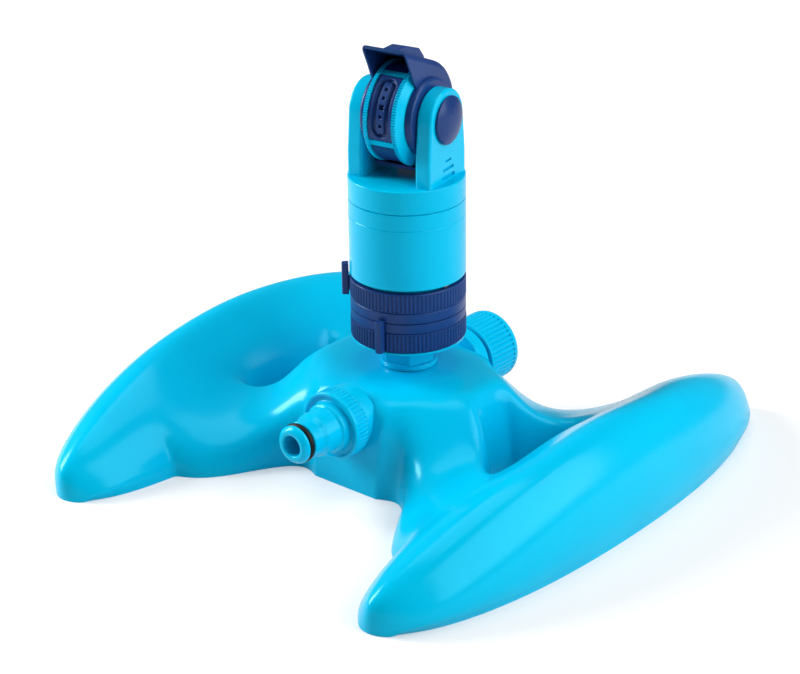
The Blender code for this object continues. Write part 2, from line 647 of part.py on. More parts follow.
def base_cage(inset=0.0):
    """Half of the base form as a coarse closed cage, open only at x = 0; the inset one forms the hollow."""
    bm = bmesh.new()
    crease = bm.edges.layers.float.new("crease_edge")
    corner = set()
    for face_y, side in ((PEDESTAL_FRONT_Y, 1.0), (PEDESTAL_REAR_Y, -1.0)):
        points = {**runner_points(), **arm_points(face_y), **pedestal_points(face_y)}
        verts = {}
        for keys in quarter_faces():
            ring = []
            for key in map(shared_key, map(shared_key, keys)):
                if key not in verts:
                    x, y, z = points[key]
                    verts[key] = bm.verts.new((x, y * side, z))
                ring.append(verts[key])
            bm.faces.new(ring)
        corner |= {verts[key] for key in CORNER_KEYS}
    bmesh.ops.remove_doubles(bm, verts=bm.verts, dist=0.00001)
    ground = [e for e in bm.edges if e.is_boundary and max(v.co.z for v in e.verts) < 0.00001]
    skirt = bmesh.ops.extrude_edge_only(bm, edges=ground)["geom"]
    lowest = [item for item in skirt if isinstance(item, bmesh.types.BMVert)]
    for vert in lowest:
        vert.co.z = -SKIRT_DEPTH
    for edge in bm.edges:
        below, above = sorted(edge.verts, key=lambda vert: vert.co.z)
        if above in corner and (below in corner or below in lowest):
            edge[crease] = CORNER_CREASE
    bmesh.ops.recalc_face_normals(bm, faces=bm.faces)
    if sum(face.normal.z for face in bm.faces) < 0.0:
        bmesh.ops.reverse_faces(bm, faces=bm.faces)
    bm.normal_update()
    shifts = [(vert, vert.normal.copy()) for vert in bm.verts] if inset else []
    for vert, normal in shifts:
        if abs(vert.co.x) < 0.00001:
            normal.x = 0.0
        if vert in lowest:
            normal.z = 0.0
        vert.co -= normal.normalized() * inset
    middle = sorted((vert for vert in lowest if abs(vert.co.x) < 0.00001), key=lambda vert: vert.co.y)
    bm.edges.new(middle)
    rim = [e for e in bm.edges if all(v in lowest for v in e.verts)]
    bmesh.ops.triangle_fill(bm, use_beauty=True, edges=rim)
    bmesh.ops.recalc_face_normals(bm, faces=bm.faces)
    if bm.calc_volume(signed=True) < 0.0:
        bmesh.ops.reverse_faces(bm, faces=bm.faces)
    return mesh_from_bmesh("base_cage", bm)


def lying(obj, towards=-1.0):
    """Lay a turned piece on the pipe axis, its local Z towards the inlet or the outlet."""
    obj.location = (0.0, 0.0, PIPE_Z)
    obj.rotation_euler = (math.radians(-90.0 * towards), 0.0, 0.0)
    return obj


def make_base():
    """The one-piece base: a skin over runners, arms and pedestal, with the water pipe across it."""
    base = add_object("base_shell", base_cage(), "cyan")
    hollow = add_object("base_hollow", base_cage(BASE_WALL + CAGE_SINK), None)
    for form in (base, hollow):
        mirror = form.modifiers.new("left_half", "MIRROR")
        mirror.use_clip = True
        mirror.merge_threshold = 0.00002
    smoothing = base.modifiers.new("soft_form", "SUBSURF")
    smoothing.levels = 1
    smoothing.render_levels = 1
    reach = RUNNER_HALF_LENGTH * 1.5
    ground = box("ground_cut", (-reach, -reach, -SKIRT_DEPTH * 5), (reach, reach, 0.0))
    cut(base, hollow, ground)
    front_boss = lying(cylinder("inlet_boss", BOSS_RADIUS, BOSS_FRONT_Y - BOSS_DEPTH, BOSS_FRONT_Y,
                                steps=MID_STEPS))
    rear_boss = lying(cylinder("outlet_boss", BOSS_RADIUS, BOSS_REAR_Y - BOSS_DEPTH, BOSS_REAR_Y,
                               steps=MID_STEPS), 1.0)
    pipe = lying(cylinder("pipe_wall", PIPE_RADIUS, -BOSS_REAR_Y + PAST, BOSS_FRONT_Y - PAST))
    inlet = lying(cylinder("inlet_spigot", SPIGOT_RADIUS, BOSS_FRONT_Y - MOUTH_DEPTH * 2, INLET_SPIGOT_END,
                           steps=MID_STEPS))
    outlet = lying(cylinder("outlet_spigot", SPIGOT_RADIUS, BOSS_REAR_Y - MOUTH_DEPTH * 2, OUTLET_SPIGOT_END,
                            steps=MID_STEPS), 1.0)
    tower = cylinder("riser_boss", RISER_STUB_RADIUS + BASE_WALL, PIPE_Z, PEDESTAL_TOP_Z - BASE_WALL / 3)
    join(base, front_boss, rear_boss, pipe, inlet, outlet, tower)
    bore = lying(cylinder("pipe_bore", PIPE_BORE_RADIUS, -OUTLET_SPIGOT_END - PAST, INLET_SPIGOT_END + PAST))
    mouth = lying(cylinder("inlet_mouth", SPIGOT_BORE_RADIUS, BOSS_FRONT_Y - MOUTH_DEPTH,
                           INLET_SPIGOT_END + PAST))
    way_out = lying(cylinder("outlet_mouth", SPIGOT_BORE_RADIUS, BOSS_REAR_Y - MOUTH_DEPTH,
                             OUTLET_SPIGOT_END + PAST), 1.0)
    socket = cylinder("riser_socket", SOCKET_RADIUS, SOCKET_FLOOR_Z, PEDESTAL_TOP_Z + SKIRT_DEPTH)
    upflow = cylinder("upflow_bore", STEM_BORE_RADIUS, PIPE_Z, PEDESTAL_TOP_Z)
    cut(base, bore, mouth, way_out, socket, upflow)
    smooth(base, 50.0)
    return base


def make_inlet():
    """Hose connector screwed on the inlet spigot: knurled nut, stepped barrel and nipple in one moulding."""
    thread_radius = SPIGOT_RADIUS + FIT
    nut_back = BOSS_FRONT_Y + FIT
    dish = INLET_FACE - NUT_DISH_DEPTH
    rim_inside = NUT_RADIUS - NUT_RIM
    land_end = -O_RING_Y - O_RING_SECTION - FIT
    groove_end = -O_RING_Y + O_RING_SECTION + FIT
    nose = -NOSE_Y
    barrel_end = -BARREL_END_Y
    profile = [
        (INLET_BORE_RADIUS, nose), (NOSE_RADIUS - 0.0018, nose), (NOSE_RADIUS - 0.0004, nose - 0.0008),
        (NOSE_RADIUS, nose - 0.0020), (NOSE_RADIUS, groove_end), (GROOVE_RADIUS, groove_end),
        (GROOVE_RADIUS, land_end), (LAND_RADIUS, land_end), (LAND_RADIUS, barrel_end),
        (BARREL_END_RADIUS - EDGE, barrel_end), (BARREL_END_RADIUS, barrel_end - EDGE),
        (BARREL_RADIUS, dish), (rim_inside, dish), (rim_inside, INLET_FACE), (NUT_RADIUS - EDGE, INLET_FACE),
        (NUT_RADIUS, INLET_FACE - EDGE), (NUT_RADIUS, nut_back), (thread_radius, nut_back),
        (thread_radius, INLET_WEB_BACK), (INLET_BORE_RADIUS, INLET_WEB_BACK)]
    nut = lying(turned("inlet_connector", profile, "cyan", steps=MID_STEPS))
    smooth(nut)
    ring_centre = GROOVE_RADIUS + FIT / 2 + O_RING_SECTION
    circle = [(ring_centre + O_RING_SECTION * math.cos(turn), -O_RING_Y - O_RING_SECTION * math.sin(turn))
              for turn in (2.0 * math.pi * step / 8 for step in range(8))]
    smooth(lying(turned("inlet_o_ring", circle, "black_rubber", steps=SMALL_STEPS)))
    inside = INLET_BORE_RADIUS + PAST
    outside = thread_radius - FIT
    washer_back = INLET_WASHER_FRONT - WASHER_THICKNESS
    ring = [(inside, INLET_WASHER_FRONT), (outside, INLET_WASHER_FRONT), (outside, washer_back),
            (inside, washer_back)]
    smooth(lying(turned("inlet_washer", ring, "black_rubber", steps=SMALL_STEPS)))
    strainer_front = INLET_SPIGOT_END
    strainer_radius = SPIGOT_BORE_RADIUS - FIT
    cup_back = strainer_front - STRAINER_DEPTH
    flange_back = strainer_front - STRAINER_SKIN
    neck = strainer_radius - STRAINER_FLANGE
    cup = [(0.0, cup_back + STRAINER_SKIN), (neck - STRAINER_SKIN * 2, cup_back + STRAINER_SKIN),
           (neck - STRAINER_SKIN, strainer_front), (strainer_radius, strainer_front),
           (strainer_radius, flange_back), (neck, flange_back), (neck - STRAINER_SKIN, cup_back),
           (0.0, cup_back)]
    strainer = lying(turned("inlet_strainer", cup, "white_acetal", steps=SMALL_STEPS))
    for index in range(5):
        spot = (0.0, 0.0) if index == 0 else polar(STRAINER_RING_RADIUS, 20.0 + index * 90.0)
        hole = lying(cylinder("strainer_hole_%d" % index, STRAINER_HOLE_RADIUS, cup_back - PAST,
                              cup_back + STRAINER_SKIN + PAST, steps=6, centre=spot))
        cut(strainer, hole)


def make_outlet():
    """Cap and flat washer that close the outlet spigot."""
    thread_radius = SPIGOT_RADIUS + FIT
    end = CAP_FAR_Y
    profile = [
        (0.0, end), (CAP_RADIUS - CAP_ROUND * 4, end), (CAP_RADIUS - CAP_ROUND, end),
        (CAP_RADIUS, end - CAP_ROUND),
        (CAP_RADIUS, CAP_NEAR_Y + EDGE), (CAP_RADIUS - EDGE, CAP_NEAR_Y), (thread_radius, CAP_NEAR_Y),
        (thread_radius, end - CAP_END_WALL), (0.0, end - CAP_END_WALL)]
    smooth(lying(turned("outlet_cap", profile, "cyan", steps=MID_STEPS), 1.0))
    low = OUTLET_SPIGOT_END + FIT
    ring = [(OUTLET_WASHER_BORE, OUTLET_WASHER_BACK), (SPIGOT_RADIUS, OUTLET_WASHER_BACK),
            (SPIGOT_RADIUS, low), (OUTLET_WASHER_BORE, low)]
    smooth(lying(turned("outlet_washer", ring, "black_rubber", steps=SMALL_STEPS), 1.0))


def make_riser():
    """Riser with its hexagon, screwed into the pedestal, and the seal under it."""
    profile = [
        (STEM_BORE_RADIUS, STEM_TOP_Z), (STEM_RADIUS, STEM_TOP_Z), (STEM_RADIUS, HEX_TOP_Z - PAST),
        (RISER_CORE_RADIUS, HEX_TOP_Z - PAST), (RISER_CORE_RADIUS, RISER_FLANGE_TOP_Z),
        (RISER_FLANGE_RADIUS, RISER_FLANGE_TOP_Z), (RISER_FLANGE_RADIUS, RISER_FLANGE_BOTTOM_Z),
        (RISER_STUB_RADIUS, RISER_FLANGE_BOTTOM_Z), (RISER_STUB_RADIUS, RISER_BOTTOM_Z),
        (STEM_BORE_RADIUS, RISER_BOTTOM_Z)]
    riser = turned("riser", profile, "cyan", steps=MID_STEPS)
    corners = [polar(HEX_ACROSS_CORNERS / 2, HEX_CORNER_DEG + 60.0 * k) for k in range(6)]
    hexagon = prism("riser_hexagon", corners, RISER_FLANGE_TOP_Z - LAP, HEX_TOP_Z)
    core = cylinder("hexagon_core", STEM_RADIUS - PAST, RISER_FLANGE_TOP_Z - PAST, HEX_TOP_Z + PAST,
                    steps=MID_STEPS)
    cut(hexagon, core)
    join(riser, hexagon)
    smooth(riser)
    inside = STEM_BORE_RADIUS + PAST
    top = RISER_SEAL_BOTTOM_Z + WASHER_THICKNESS
    outside = RISER_STUB_RADIUS - TUCK
    ring = [(inside, top), (outside, top), (outside, RISER_SEAL_BOTTOM_Z), (inside, RISER_SEAL_BOTTOM_Z)]
    smooth(turned("riser_seal", ring, "black_rubber", steps=SMALL_STEPS))


def collar_tab(name, degrees, base_z, root_top_z):
    """A grip tab outside a collar, clear of what turns above it, with a root into the collar."""
    clear = TOWER_RADIUS + FIT + TAB_STEP
    tip = TOWER_RADIUS + TAB_REACH
    tab = box(name, (clear, -TAB_WIDTH / 2, base_z), (tip, TAB_WIDTH / 2, base_z + TAB_HEIGHT))
    bevel(tab, TAB_WIDTH * 0.22, 2)
    root = box(name + "_root", (TOWER_RADIUS - ROOT_SINK, -ROOT_HALF, base_z + PAST * 2),
               (clear + ROOT_SINK, ROOT_HALF, root_top_z - PAST))
    for piece in (tab, root):
        piece.rotation_euler = (0.0, 0.0, math.radians(degrees))
    return tab, root


def stop_block(name, degrees, inner, outer, low, high):
    """A stop inside a collar, met by the trip lever's finger."""
    half = inner * math.radians(STOP_WIDTH_DEG / 2)
    block = box(name, (inner, -half, low), (outer, half, high))
    block.rotation_euler = (0.0, 0.0, math.radians(degrees))
    return block


def make_collars():
    """Hub on the riser, and the two collars that set where the head turns back."""
    flange = TOWER_RADIUS - EDGE
    core = HUB_RADIUS - HUB_WALL
    hub = turned("collar_hub", [
        (core, HUB_TOP_Z), (HUB_RADIUS, HUB_TOP_Z), (HUB_RADIUS, HUB_FLANGE_TOP_Z),
        (flange, HUB_FLANGE_TOP_Z), (flange, HUB_BOTTOM_Z), (STEM_BORE, HUB_BOTTOM_Z),
        (STEM_BORE, HUB_BOTTOM_Z + HUB_WALL), (core, HUB_BOTTOM_Z + HUB_WALL)], "cyan")
    smooth(hub)
    split = COLLAR_SPLIT_Z - FIT / 2
    edge = EDGE
    stop_inner = SLEEVE_INNER_RADIUS + TUCK / 2
    lower = turned("lower_arc_collar", [
        (SLEEVE_INNER_RADIUS, SLEEVE_TOP_Z), (SLEEVE_OUTER_RADIUS, SLEEVE_TOP_Z),
        (SLEEVE_OUTER_RADIUS, split), (TOWER_RADIUS - edge, split), (TOWER_RADIUS, split - edge),
        (TOWER_RADIUS, COLLAR_BOTTOM_Z + edge), (TOWER_RADIUS - edge, COLLAR_BOTTOM_Z),
        (SLEEVE_INNER_RADIUS, COLLAR_BOTTOM_Z)], "navy")
    join(lower, *collar_tab("lower_tab", LOWER_TAB_DEG, LOWER_TAB_BASE_Z, COLLAR_SPLIT_Z))
    join(lower, stop_block("lower_stop", LOWER_STOP_DEG, stop_inner, SLEEVE_OUTER_RADIUS - TUCK / 2,
                           SLEEVE_TOP_Z - PAST, STOP_TOP_Z))
    smooth(lower)
    upper = turned("upper_arc_collar", [
        (UPPER_BORE_RADIUS, COLLAR_TOP_Z), (TOWER_RADIUS - edge, COLLAR_TOP_Z),
        (TOWER_RADIUS, COLLAR_TOP_Z - edge), (TOWER_RADIUS, COLLAR_SPLIT_Z + FIT / 2 + edge),
        (TOWER_RADIUS - edge, COLLAR_SPLIT_Z + FIT / 2),
        (UPPER_BORE_RADIUS, COLLAR_SPLIT_Z + FIT / 2)], "navy")
    join(upper, *collar_tab("upper_tab", UPPER_TAB_DEG, UPPER_TAB_BASE_Z, COLLAR_TOP_Z))
    join(upper, stop_block("upper_stop", UPPER_STOP_DEG, stop_inner, UPPER_BORE_RADIUS + LAP * 1.6,
                           SLEEVE_TOP_Z + FIT, STOP_TOP_Z))
    smooth(upper)


def gear_outline(teeth, module, phase_deg):
    """Plain trapezoid teeth with backlash, one tooth centred on the phase angle."""
    outer = teeth * module / 2 + 0.8 * module
    root = teeth * module / 2 - 1.1 * module
    pitch_deg = 360.0 / teeth
    points = []
    for tooth in range(teeth):
        centre = phase_deg + tooth * pitch_deg
        for radius, share in ((root, -0.29), (outer, -0.11), (outer, 0.11), (root, 0.29)):
            points.append(polar(radius, centre + share * pitch_deg))
    return points


def meshing_phase(teeth, towards_deg):
    """Phase that turns a gap between teeth towards an angle."""
    return towards_deg + 180.0 / teeth


def make_housing(head):
    """Rotating housing that carries the gear train and turns on the riser's stem."""
    bottom = HOUSING_BOTTOM_Z
    thrust_outer = HUB_RADIUS - TUCK
    thrust_inner = HUB_RADIUS - HUB_WALL - TUCK * 2
    thrust_z = HUB_TOP_Z + FIT
    bore = HOUSING_BORE_RADIUS
    ledge = bore - LEDGE_WIDTH
    profile = [
        (bore, HOUSING_TOP_Z), (TOWER_RADIUS, HOUSING_TOP_Z), (TOWER_RADIUS, bottom + HOUSING_EDGE),
        (TOWER_RADIUS - HOUSING_EDGE, bottom), (thrust_outer, bottom), (thrust_outer, thrust_z),
        (thrust_inner, thrust_z), (thrust_inner, bottom), (STEM_BORE, bottom), (STEM_BORE, FLOOR_TOP_Z),
        (bore, FLOOR_TOP_Z), (bore, HOUSING_LEDGE_Z - LEDGE_WIDTH * 2),
        (ledge, HOUSING_LEDGE_Z - LEDGE_WIDTH * 0.8), (ledge, HOUSING_LEDGE_Z), (bore, HOUSING_LEDGE_Z)]
    housing = turned("gear_housing", profile, "cyan", head)
    slot = box("finger_slot", (thrust_outer + TUCK / 2, -TRIP_SLOT_HALF, bottom - PAST),
               (bore - TUCK, TRIP_SLOT_HALF, FLOOR_TOP_Z + PAST), parent=head)
    slot.rotation_euler = (0.0, 0.0, math.radians(TRIP_DEG))
    pivot_hole = cylinder("trip_pivot_hole", JOURNAL_RADIUS + FIT, bottom - PAST, FLOOR_TOP_Z + PAST,
                          parent=head, steps=12, centre=polar(TRIP_PIVOT_RADIUS, TRIP_DEG))
    cut(housing, slot, pivot_hole)
    smooth(housing)
    seal_outer = STEM_BORE + SEAL_WIDTH
    seal_low = FLOOR_TOP_Z + FIT
    seal_high = seal_low + SEAL_THICKNESS
    smooth(turned("housing_seal", [(STEM_BORE, seal_high), (seal_outer, seal_high), (seal_outer, seal_low),
                                   (STEM_BORE, seal_low)], "black_rubber", head, SMALL_STEPS))


def make_gears(head):
    """Fixed sun gear on the stem, turbine, compound wheel and output shaft that walks round the sun."""
    sun_phase = HEAD_YAW_DEG + OUTPUT_GEAR_DEG
    sun = prism("fixed_sun_gear", gear_outline(SUN_TEETH, SUN_MODULE, sun_phase), SUN_Z, SUN_Z + SUN_WIDTH,
                "white_acetal")
    cut(sun, cylinder("sun_bore", STEM_BORE, SUN_Z - PAST, SUN_Z + SUN_WIDTH + PAST))
    cup_inside = CUP_RADIUS - CUP_WALL
    skirt = STEM_BORE + SEAL_WIDTH
    skirt_low = SUN_Z + SUN_WIDTH + FIT
    pivot = JOURNAL_RADIUS + FIT
    cup = turned("jet_cup", [
        (cup_inside, CUP_TOP_Z), (CUP_RADIUS, CUP_TOP_Z), (CUP_RADIUS, CUP_FLOOR_Z), (skirt, CUP_FLOOR_Z),
        (skirt, skirt_low), (STEM_BORE, skirt_low), (STEM_BORE, CUP_FLOOR_Z), (pivot, CUP_FLOOR_Z),
        (pivot, CUP_FLOOR_TOP_Z), (cup_inside, CUP_FLOOR_TOP_Z)], "white_acetal", head, SMALL_STEPS)
    for index in range(4):
        jet = cylinder("jet_%d" % index, CUP_JET_RADIUS, -PLATE_THICKNESS * 2, PLATE_THICKNESS * 2,
                       parent=head, steps=6)
        x, y = polar(CUP_JET_RING_RADIUS, index * 90.0)
        jet.location = (x, y, (CUP_FLOOR_Z + CUP_FLOOR_TOP_Z) / 2)
        jet.rotation_euler = (math.radians(35.0), 0.0, math.radians(index * 90.0))
        cut(cup, jet)
    smooth(cup)

    turbine_axis = axis_empty("turbine_axis", (0.0, 0.0, 0.0), parent=head)
    hub_low = CUP_FLOOR_TOP_Z + EDGE
    hub_high = CUP_TOP_Z - EDGE * 2
    hub_radius = TURBINE_HUB_RADIUS
    pinion_phase = meshing_phase(PINION_TEETH, COMPOUND_DEG)
    turbine = turned("turbine", [
        (0.0, UPPER_PLATE_TOP_Z), (JOURNAL_RADIUS, UPPER_PLATE_TOP_Z), (JOURNAL_RADIUS, hub_high),
        (hub_radius, hub_high), (hub_radius, hub_low), (JOURNAL_RADIUS, hub_low),
        (JOURNAL_RADIUS, CUP_FLOOR_Z + FIT), (0.0, CUP_FLOOR_Z + FIT)], "white_acetal", turbine_axis, 12)
    for index in range(TURBINE_BLADES):
        degrees = index * 360.0 / TURBINE_BLADES
        blade = box("blade_%d" % index, (hub_radius - LAP, -BLADE_HALF_SKIN, -BLADE_HALF_WIDTH),
                    (TURBINE_RADIUS, BLADE_HALF_SKIN, BLADE_HALF_WIDTH),
                    parent=turbine_axis)
        blade.location = (0.0, 0.0, (hub_low + hub_high) / 2)
        blade.rotation_euler = (math.radians(-30.0), 0.0, math.radians(degrees))
        join(turbine, blade)
    join(turbine, prism("turbine_pinion", gear_outline(PINION_TEETH, TRAIN_MODULE, pinion_phase), WHEEL_Z,
                        WHEEL_Z + GEAR_WIDTH, parent=turbine_axis))
    smooth(turbine)

    compound_axis = axis_empty("compound_axis", (*COMPOUND_AT, 0.0), parent=head)
    back_to_turbine = COMPOUND_DEG + 180.0
    on_to_output = toward(COMPOUND_AT, OUTPUT_AT)
    compound = prism("compound_gear", gear_outline(WHEEL_TEETH, TRAIN_MODULE, back_to_turbine), WHEEL_Z,
                     WHEEL_Z + GEAR_WIDTH, "white_acetal", compound_axis)
    join(compound,
         prism("compound_pinion", gear_outline(PINION_TEETH, TRAIN_MODULE, on_to_output),
               WHEEL_Z + GEAR_WIDTH - LAP, UPPER_WHEEL_Z + GEAR_WIDTH, parent=compound_axis),
         cylinder("compound_journal", JOURNAL_RADIUS, PLATE_BOTTOM_Z, UPPER_PLATE_TOP_Z, parent=compound_axis,
                  steps=12))

    output_axis = axis_empty("output_axis", (*OUTPUT_AT, 0.0), parent=head)
    wheel_phase = meshing_phase(WHEEL_TEETH, toward(OUTPUT_AT, COMPOUND_AT))
    output = prism("output_gear", gear_outline(WHEEL_TEETH, TRAIN_MODULE, wheel_phase), UPPER_WHEEL_Z,
                   UPPER_WHEEL_Z + GEAR_WIDTH, "white_acetal", output_axis)
    output_phase = meshing_phase(OUTPUT_PINION_TEETH, OUTPUT_GEAR_DEG + 180.0)
    join(output,
         cylinder("output_shaft", OUTPUT_SHAFT_RADIUS, SUN_Z + LAP, UPPER_WHEEL_Z + LAP, parent=output_axis,
                  steps=12),
         cylinder("output_journal", JOURNAL_RADIUS, UPPER_WHEEL_Z + LAP, UPPER_PLATE_TOP_Z,
                  parent=output_axis, steps=12),
         prism("output_pinion", gear_outline(OUTPUT_PINION_TEETH, SUN_MODULE, output_phase), SUN_Z,
               SUN_Z + SUN_WIDTH, parent=output_axis))


def make_gear_plates(head):
    """Two plates that carry the gear journals, three screws between them, and the trip lever below."""
    lower = cylinder("lower_gear_plate", PLATE_RADIUS, PLATE_BOTTOM_Z, LOWER_PLATE_TOP_Z, "white_acetal",
                     head, BIG_STEPS)
    upper = cylinder("upper_gear_plate", PLATE_RADIUS, UPPER_PLATE_Z, UPPER_PLATE_TOP_Z, "white_acetal",
                     head, BIG_STEPS)
    for index, offset in enumerate(SCREW_OFFSETS_DEG):
        spot = polar(SCREW_CIRCLE_RADIUS, OUTPUT_GEAR_DEG + offset)
        post = cylinder("plate_post_%d" % index, POST_RADIUS, LOWER_PLATE_TOP_Z - LAP, UPPER_PLATE_Z - FIT,
                        parent=head, steps=12, centre=spot)
        pilot = cylinder("pilot_hole_%d" % index, SCREW_SHANK_RADIUS + FIT, LOWER_PLATE_TOP_Z + PAST,
                         UPPER_PLATE_TOP_Z + PAST, parent=head, steps=12, centre=spot)
        join(lower, post)
        cut(lower, pilot)
        cut(upper, pilot)
        head_low = UPPER_PLATE_TOP_Z + FIT
        head_high = head_low + SCREW_HEAD_HEIGHT
        tip = LOWER_PLATE_TOP_Z + PAST + FIT * 2
        profile = [(0.0, head_high), (SCREW_HEAD_RADIUS - EDGE, head_high),
                   (SCREW_HEAD_RADIUS, head_high - EDGE), (SCREW_HEAD_RADIUS, head_low),
                   (SCREW_SHANK_RADIUS, head_low), (SCREW_SHANK_RADIUS, tip), (0.0, tip)]
        screw = turned("gear_plate_screw_%d" % (index + 1), profile, "steel", head, 8)
        screw.location = (*spot, 0.0)
    for name, centre, radius in (("turbine_hole", (0.0, 0.0), JOURNAL_RADIUS),
                                 ("compound_hole", COMPOUND_AT, JOURNAL_RADIUS),
                                 ("output_hole", OUTPUT_AT, OUTPUT_SHAFT_RADIUS)):
        hole = cylinder(name, radius + FIT, PLATE_BOTTOM_Z - PAST, UPPER_PLATE_TOP_Z + PAST, parent=head,
                        steps=12, centre=centre)
        cut(lower, hole)
        cut(upper, hole)
    for index, degrees in enumerate(WINDOW_OFFSETS_DEG):
        window = cylinder("water_window_%d" % index, WINDOW_RADIUS, PLATE_BOTTOM_Z - PAST,
                          UPPER_PLATE_TOP_Z + PAST, parent=head, steps=12,
                          centre=polar(SCREW_CIRCLE_RADIUS, OUTPUT_GEAR_DEG + degrees))
        throat = cylinder("cup_throat_%d" % index, THROAT_RADIUS, PLATE_BOTTOM_Z - PAST,
                          LOWER_PLATE_TOP_Z + PAST, parent=head, steps=12,
                          centre=polar(THROAT_RING_RADIUS, OUTPUT_GEAR_DEG + degrees))
        cut(lower, window, throat)
        cut(upper, window)
    smooth(lower)
    smooth(upper)

    trip_axis = axis_empty("trip_axis", (*polar(TRIP_PIVOT_RADIUS, TRIP_DEG), 0.0),
                           (0.0, 0.0, math.radians(TRIP_DEG)), head)
    low = FLOOR_TOP_Z + FIT
    high = low + TRIP_ARM_THICKNESS
    finger_in = HUB_RADIUS + EDGE - TRIP_PIVOT_RADIUS
    finger_out = UPPER_BORE_RADIUS - FIT - TRIP_PIVOT_RADIUS
    lever = cylinder("trip_lever", TRIP_BOSS_RADIUS, low, high, "navy", trip_axis, 20)
    join(lever,
         box("trip_arm", (0.0, -TRIP_ARM_HALF, low), (finger_out, TRIP_ARM_HALF, high), parent=trip_axis),
         box("trip_finger", (finger_in, -TRIP_ARM_HALF, SLEEVE_TOP_Z + FIT),
             (finger_out, TRIP_ARM_HALF, high - TUCK), parent=trip_axis),
         cylinder("trip_pin", JOURNAL_RADIUS, HOUSING_BOTTOM_Z, high - TUCK, parent=trip_axis, steps=12))


def facing(front_deg):
    """Turn an angle up from the front into one round the pivot axis."""
    return 180.0 - front_deg


def make_fork(head, pivot):
    """Fork head: a deck that plugs into the housing and two arms that hold the drum's axle."""
    top_edge = DECK_EDGE
    sleeve = FORK_SLEEVE_RADIUS
    sleeve_bore = sleeve - HOUSING_WALL
    low = HOUSING_TOP_Z + FIT
    deck_bottom = DECK_Z - DECK_THICKNESS
    fork = turned("fork_head", [
        (0.0, DECK_Z), (TOWER_RADIUS - top_edge, DECK_Z), (TOWER_RADIUS, DECK_Z - top_edge),
        (TOWER_RADIUS, low), (sleeve, low), (sleeve, UPPER_PLATE_TOP_Z + FIT),
        (sleeve_bore, UPPER_PLATE_TOP_Z + FIT),
        (sleeve_bore, deck_bottom), (0.0, deck_bottom)], "cyan", head)
    foot = DECK_Z - PIVOT_Z - DECK_THICKNESS / 2
    shoulder = ARM_SHOULDER_Z - PIVOT_Z
    arc = [polar(ARM_TOP_RADIUS, 5.0 + 170.0 * step / 10) for step in range(11)]
    side = [(ARM_BASE_HALF, foot), (ARM_BASE_HALF, shoulder), *arc, (-ARM_BASE_HALF, shoulder),
            (-ARM_BASE_HALF, foot)]
    for sign, name in ((1.0, "right"), (-1.0, "left")):
        low_x, high_x = sorted((sign * ARM_INNER_X, sign * ARM_OUTER_X))
        arm = prism(name + "_arm", side, low_x, high_x, parent=pivot)
        bevel(arm, ARM_ROUND, 2, 60.0)
        panel_low = TUCK + DECK_Z - PIVOT_Z
        panel_high = PANEL_TOP_Z - PIVOT_Z
        panel_x = sorted((sign * (ARM_OUTER_X - PAST), sign * (ARM_OUTER_X + PANEL_RISE)))
        panel = prism(name + "_panel", [(-PANEL_LOW_HALF, panel_low), (PANEL_LOW_HALF, panel_low),
                                        (PANEL_HIGH_HALF, panel_high), (-PANEL_HIGH_HALF, panel_high)],
                      *panel_x, parent=pivot)
        bevel(panel, EDGE, 1, 60.0)
        join(fork, arm, panel)
        for index, (rise, half) in enumerate(PANEL_GROOVES):
            middle = DECK_Z + rise - PIVOT_Z
            groove_floor = ARM_OUTER_X + PANEL_RISE - GROOVE_DEPTH
            groove_x = sorted((sign * groove_floor, sign * (groove_floor + PAST * 2)))
            groove = box("%s_groove_%d" % (name, index), (-half, middle - GROOVE_DEPTH, groove_x[0]),
                         (half, middle + GROOVE_DEPTH, groove_x[1]), parent=pivot)
            cut(fork, groove)
        bore_x = sorted((sign * (ARM_INNER_X - PAST), sign * AXLE_SEAT_X))
        plug_x = sorted((sign * (AXLE_SEAT_X - PAST), sign * (ARM_OUTER_X + PAST)))
        cut(fork, cylinder(name + "_axle_bore", AXLE_RADIUS + FIT, *bore_x, parent=pivot),
            cylinder(name + "_plug_hole", PLUG_RADIUS + FIT, *plug_x, parent=pivot, steps=16))
    cut(fork, cylinder("water_duct", DUCT_RADIUS, deck_bottom - PAST, PIVOT_Z, parent=head, steps=12,
                       centre=(DUCT_X, 0.0)))
    smooth(fork)
    return fork


def make_axle(pivot):
    """Fixed hollow axle: water comes in at the right arm and leaves through one port to the front."""
    end = AXLE_SEAT_X - FIT
    axle = turned("drum_axle", [
        (0.0, AXLE_END_WALL - end), (AXLE_BORE_RADIUS, AXLE_END_WALL - end), (AXLE_BORE_RADIUS, end),
        (AXLE_RADIUS, end), (AXLE_RADIUS, -end), (0.0, -end)], "white_acetal", pivot, SMALL_STEPS)
    inlet = cylinder("axle_inlet", DUCT_RADIUS, -AXLE_RADIUS - PAST, 0.0, parent=pivot, steps=12)
    inlet.location = (0.0, 0.0, DUCT_X)
    inlet.rotation_euler = (math.radians(-90.0), 0.0, 0.0)
    outlet = cylinder("axle_outlet", DUCT_RADIUS, 0.0, AXLE_RADIUS + PAST, parent=pivot, steps=12)
    outlet.rotation_euler = (0.0, math.radians(90.0), math.radians(facing(DRUM_REST_DEG)))
    cut(axle, inlet, outlet)
    smooth(axle)


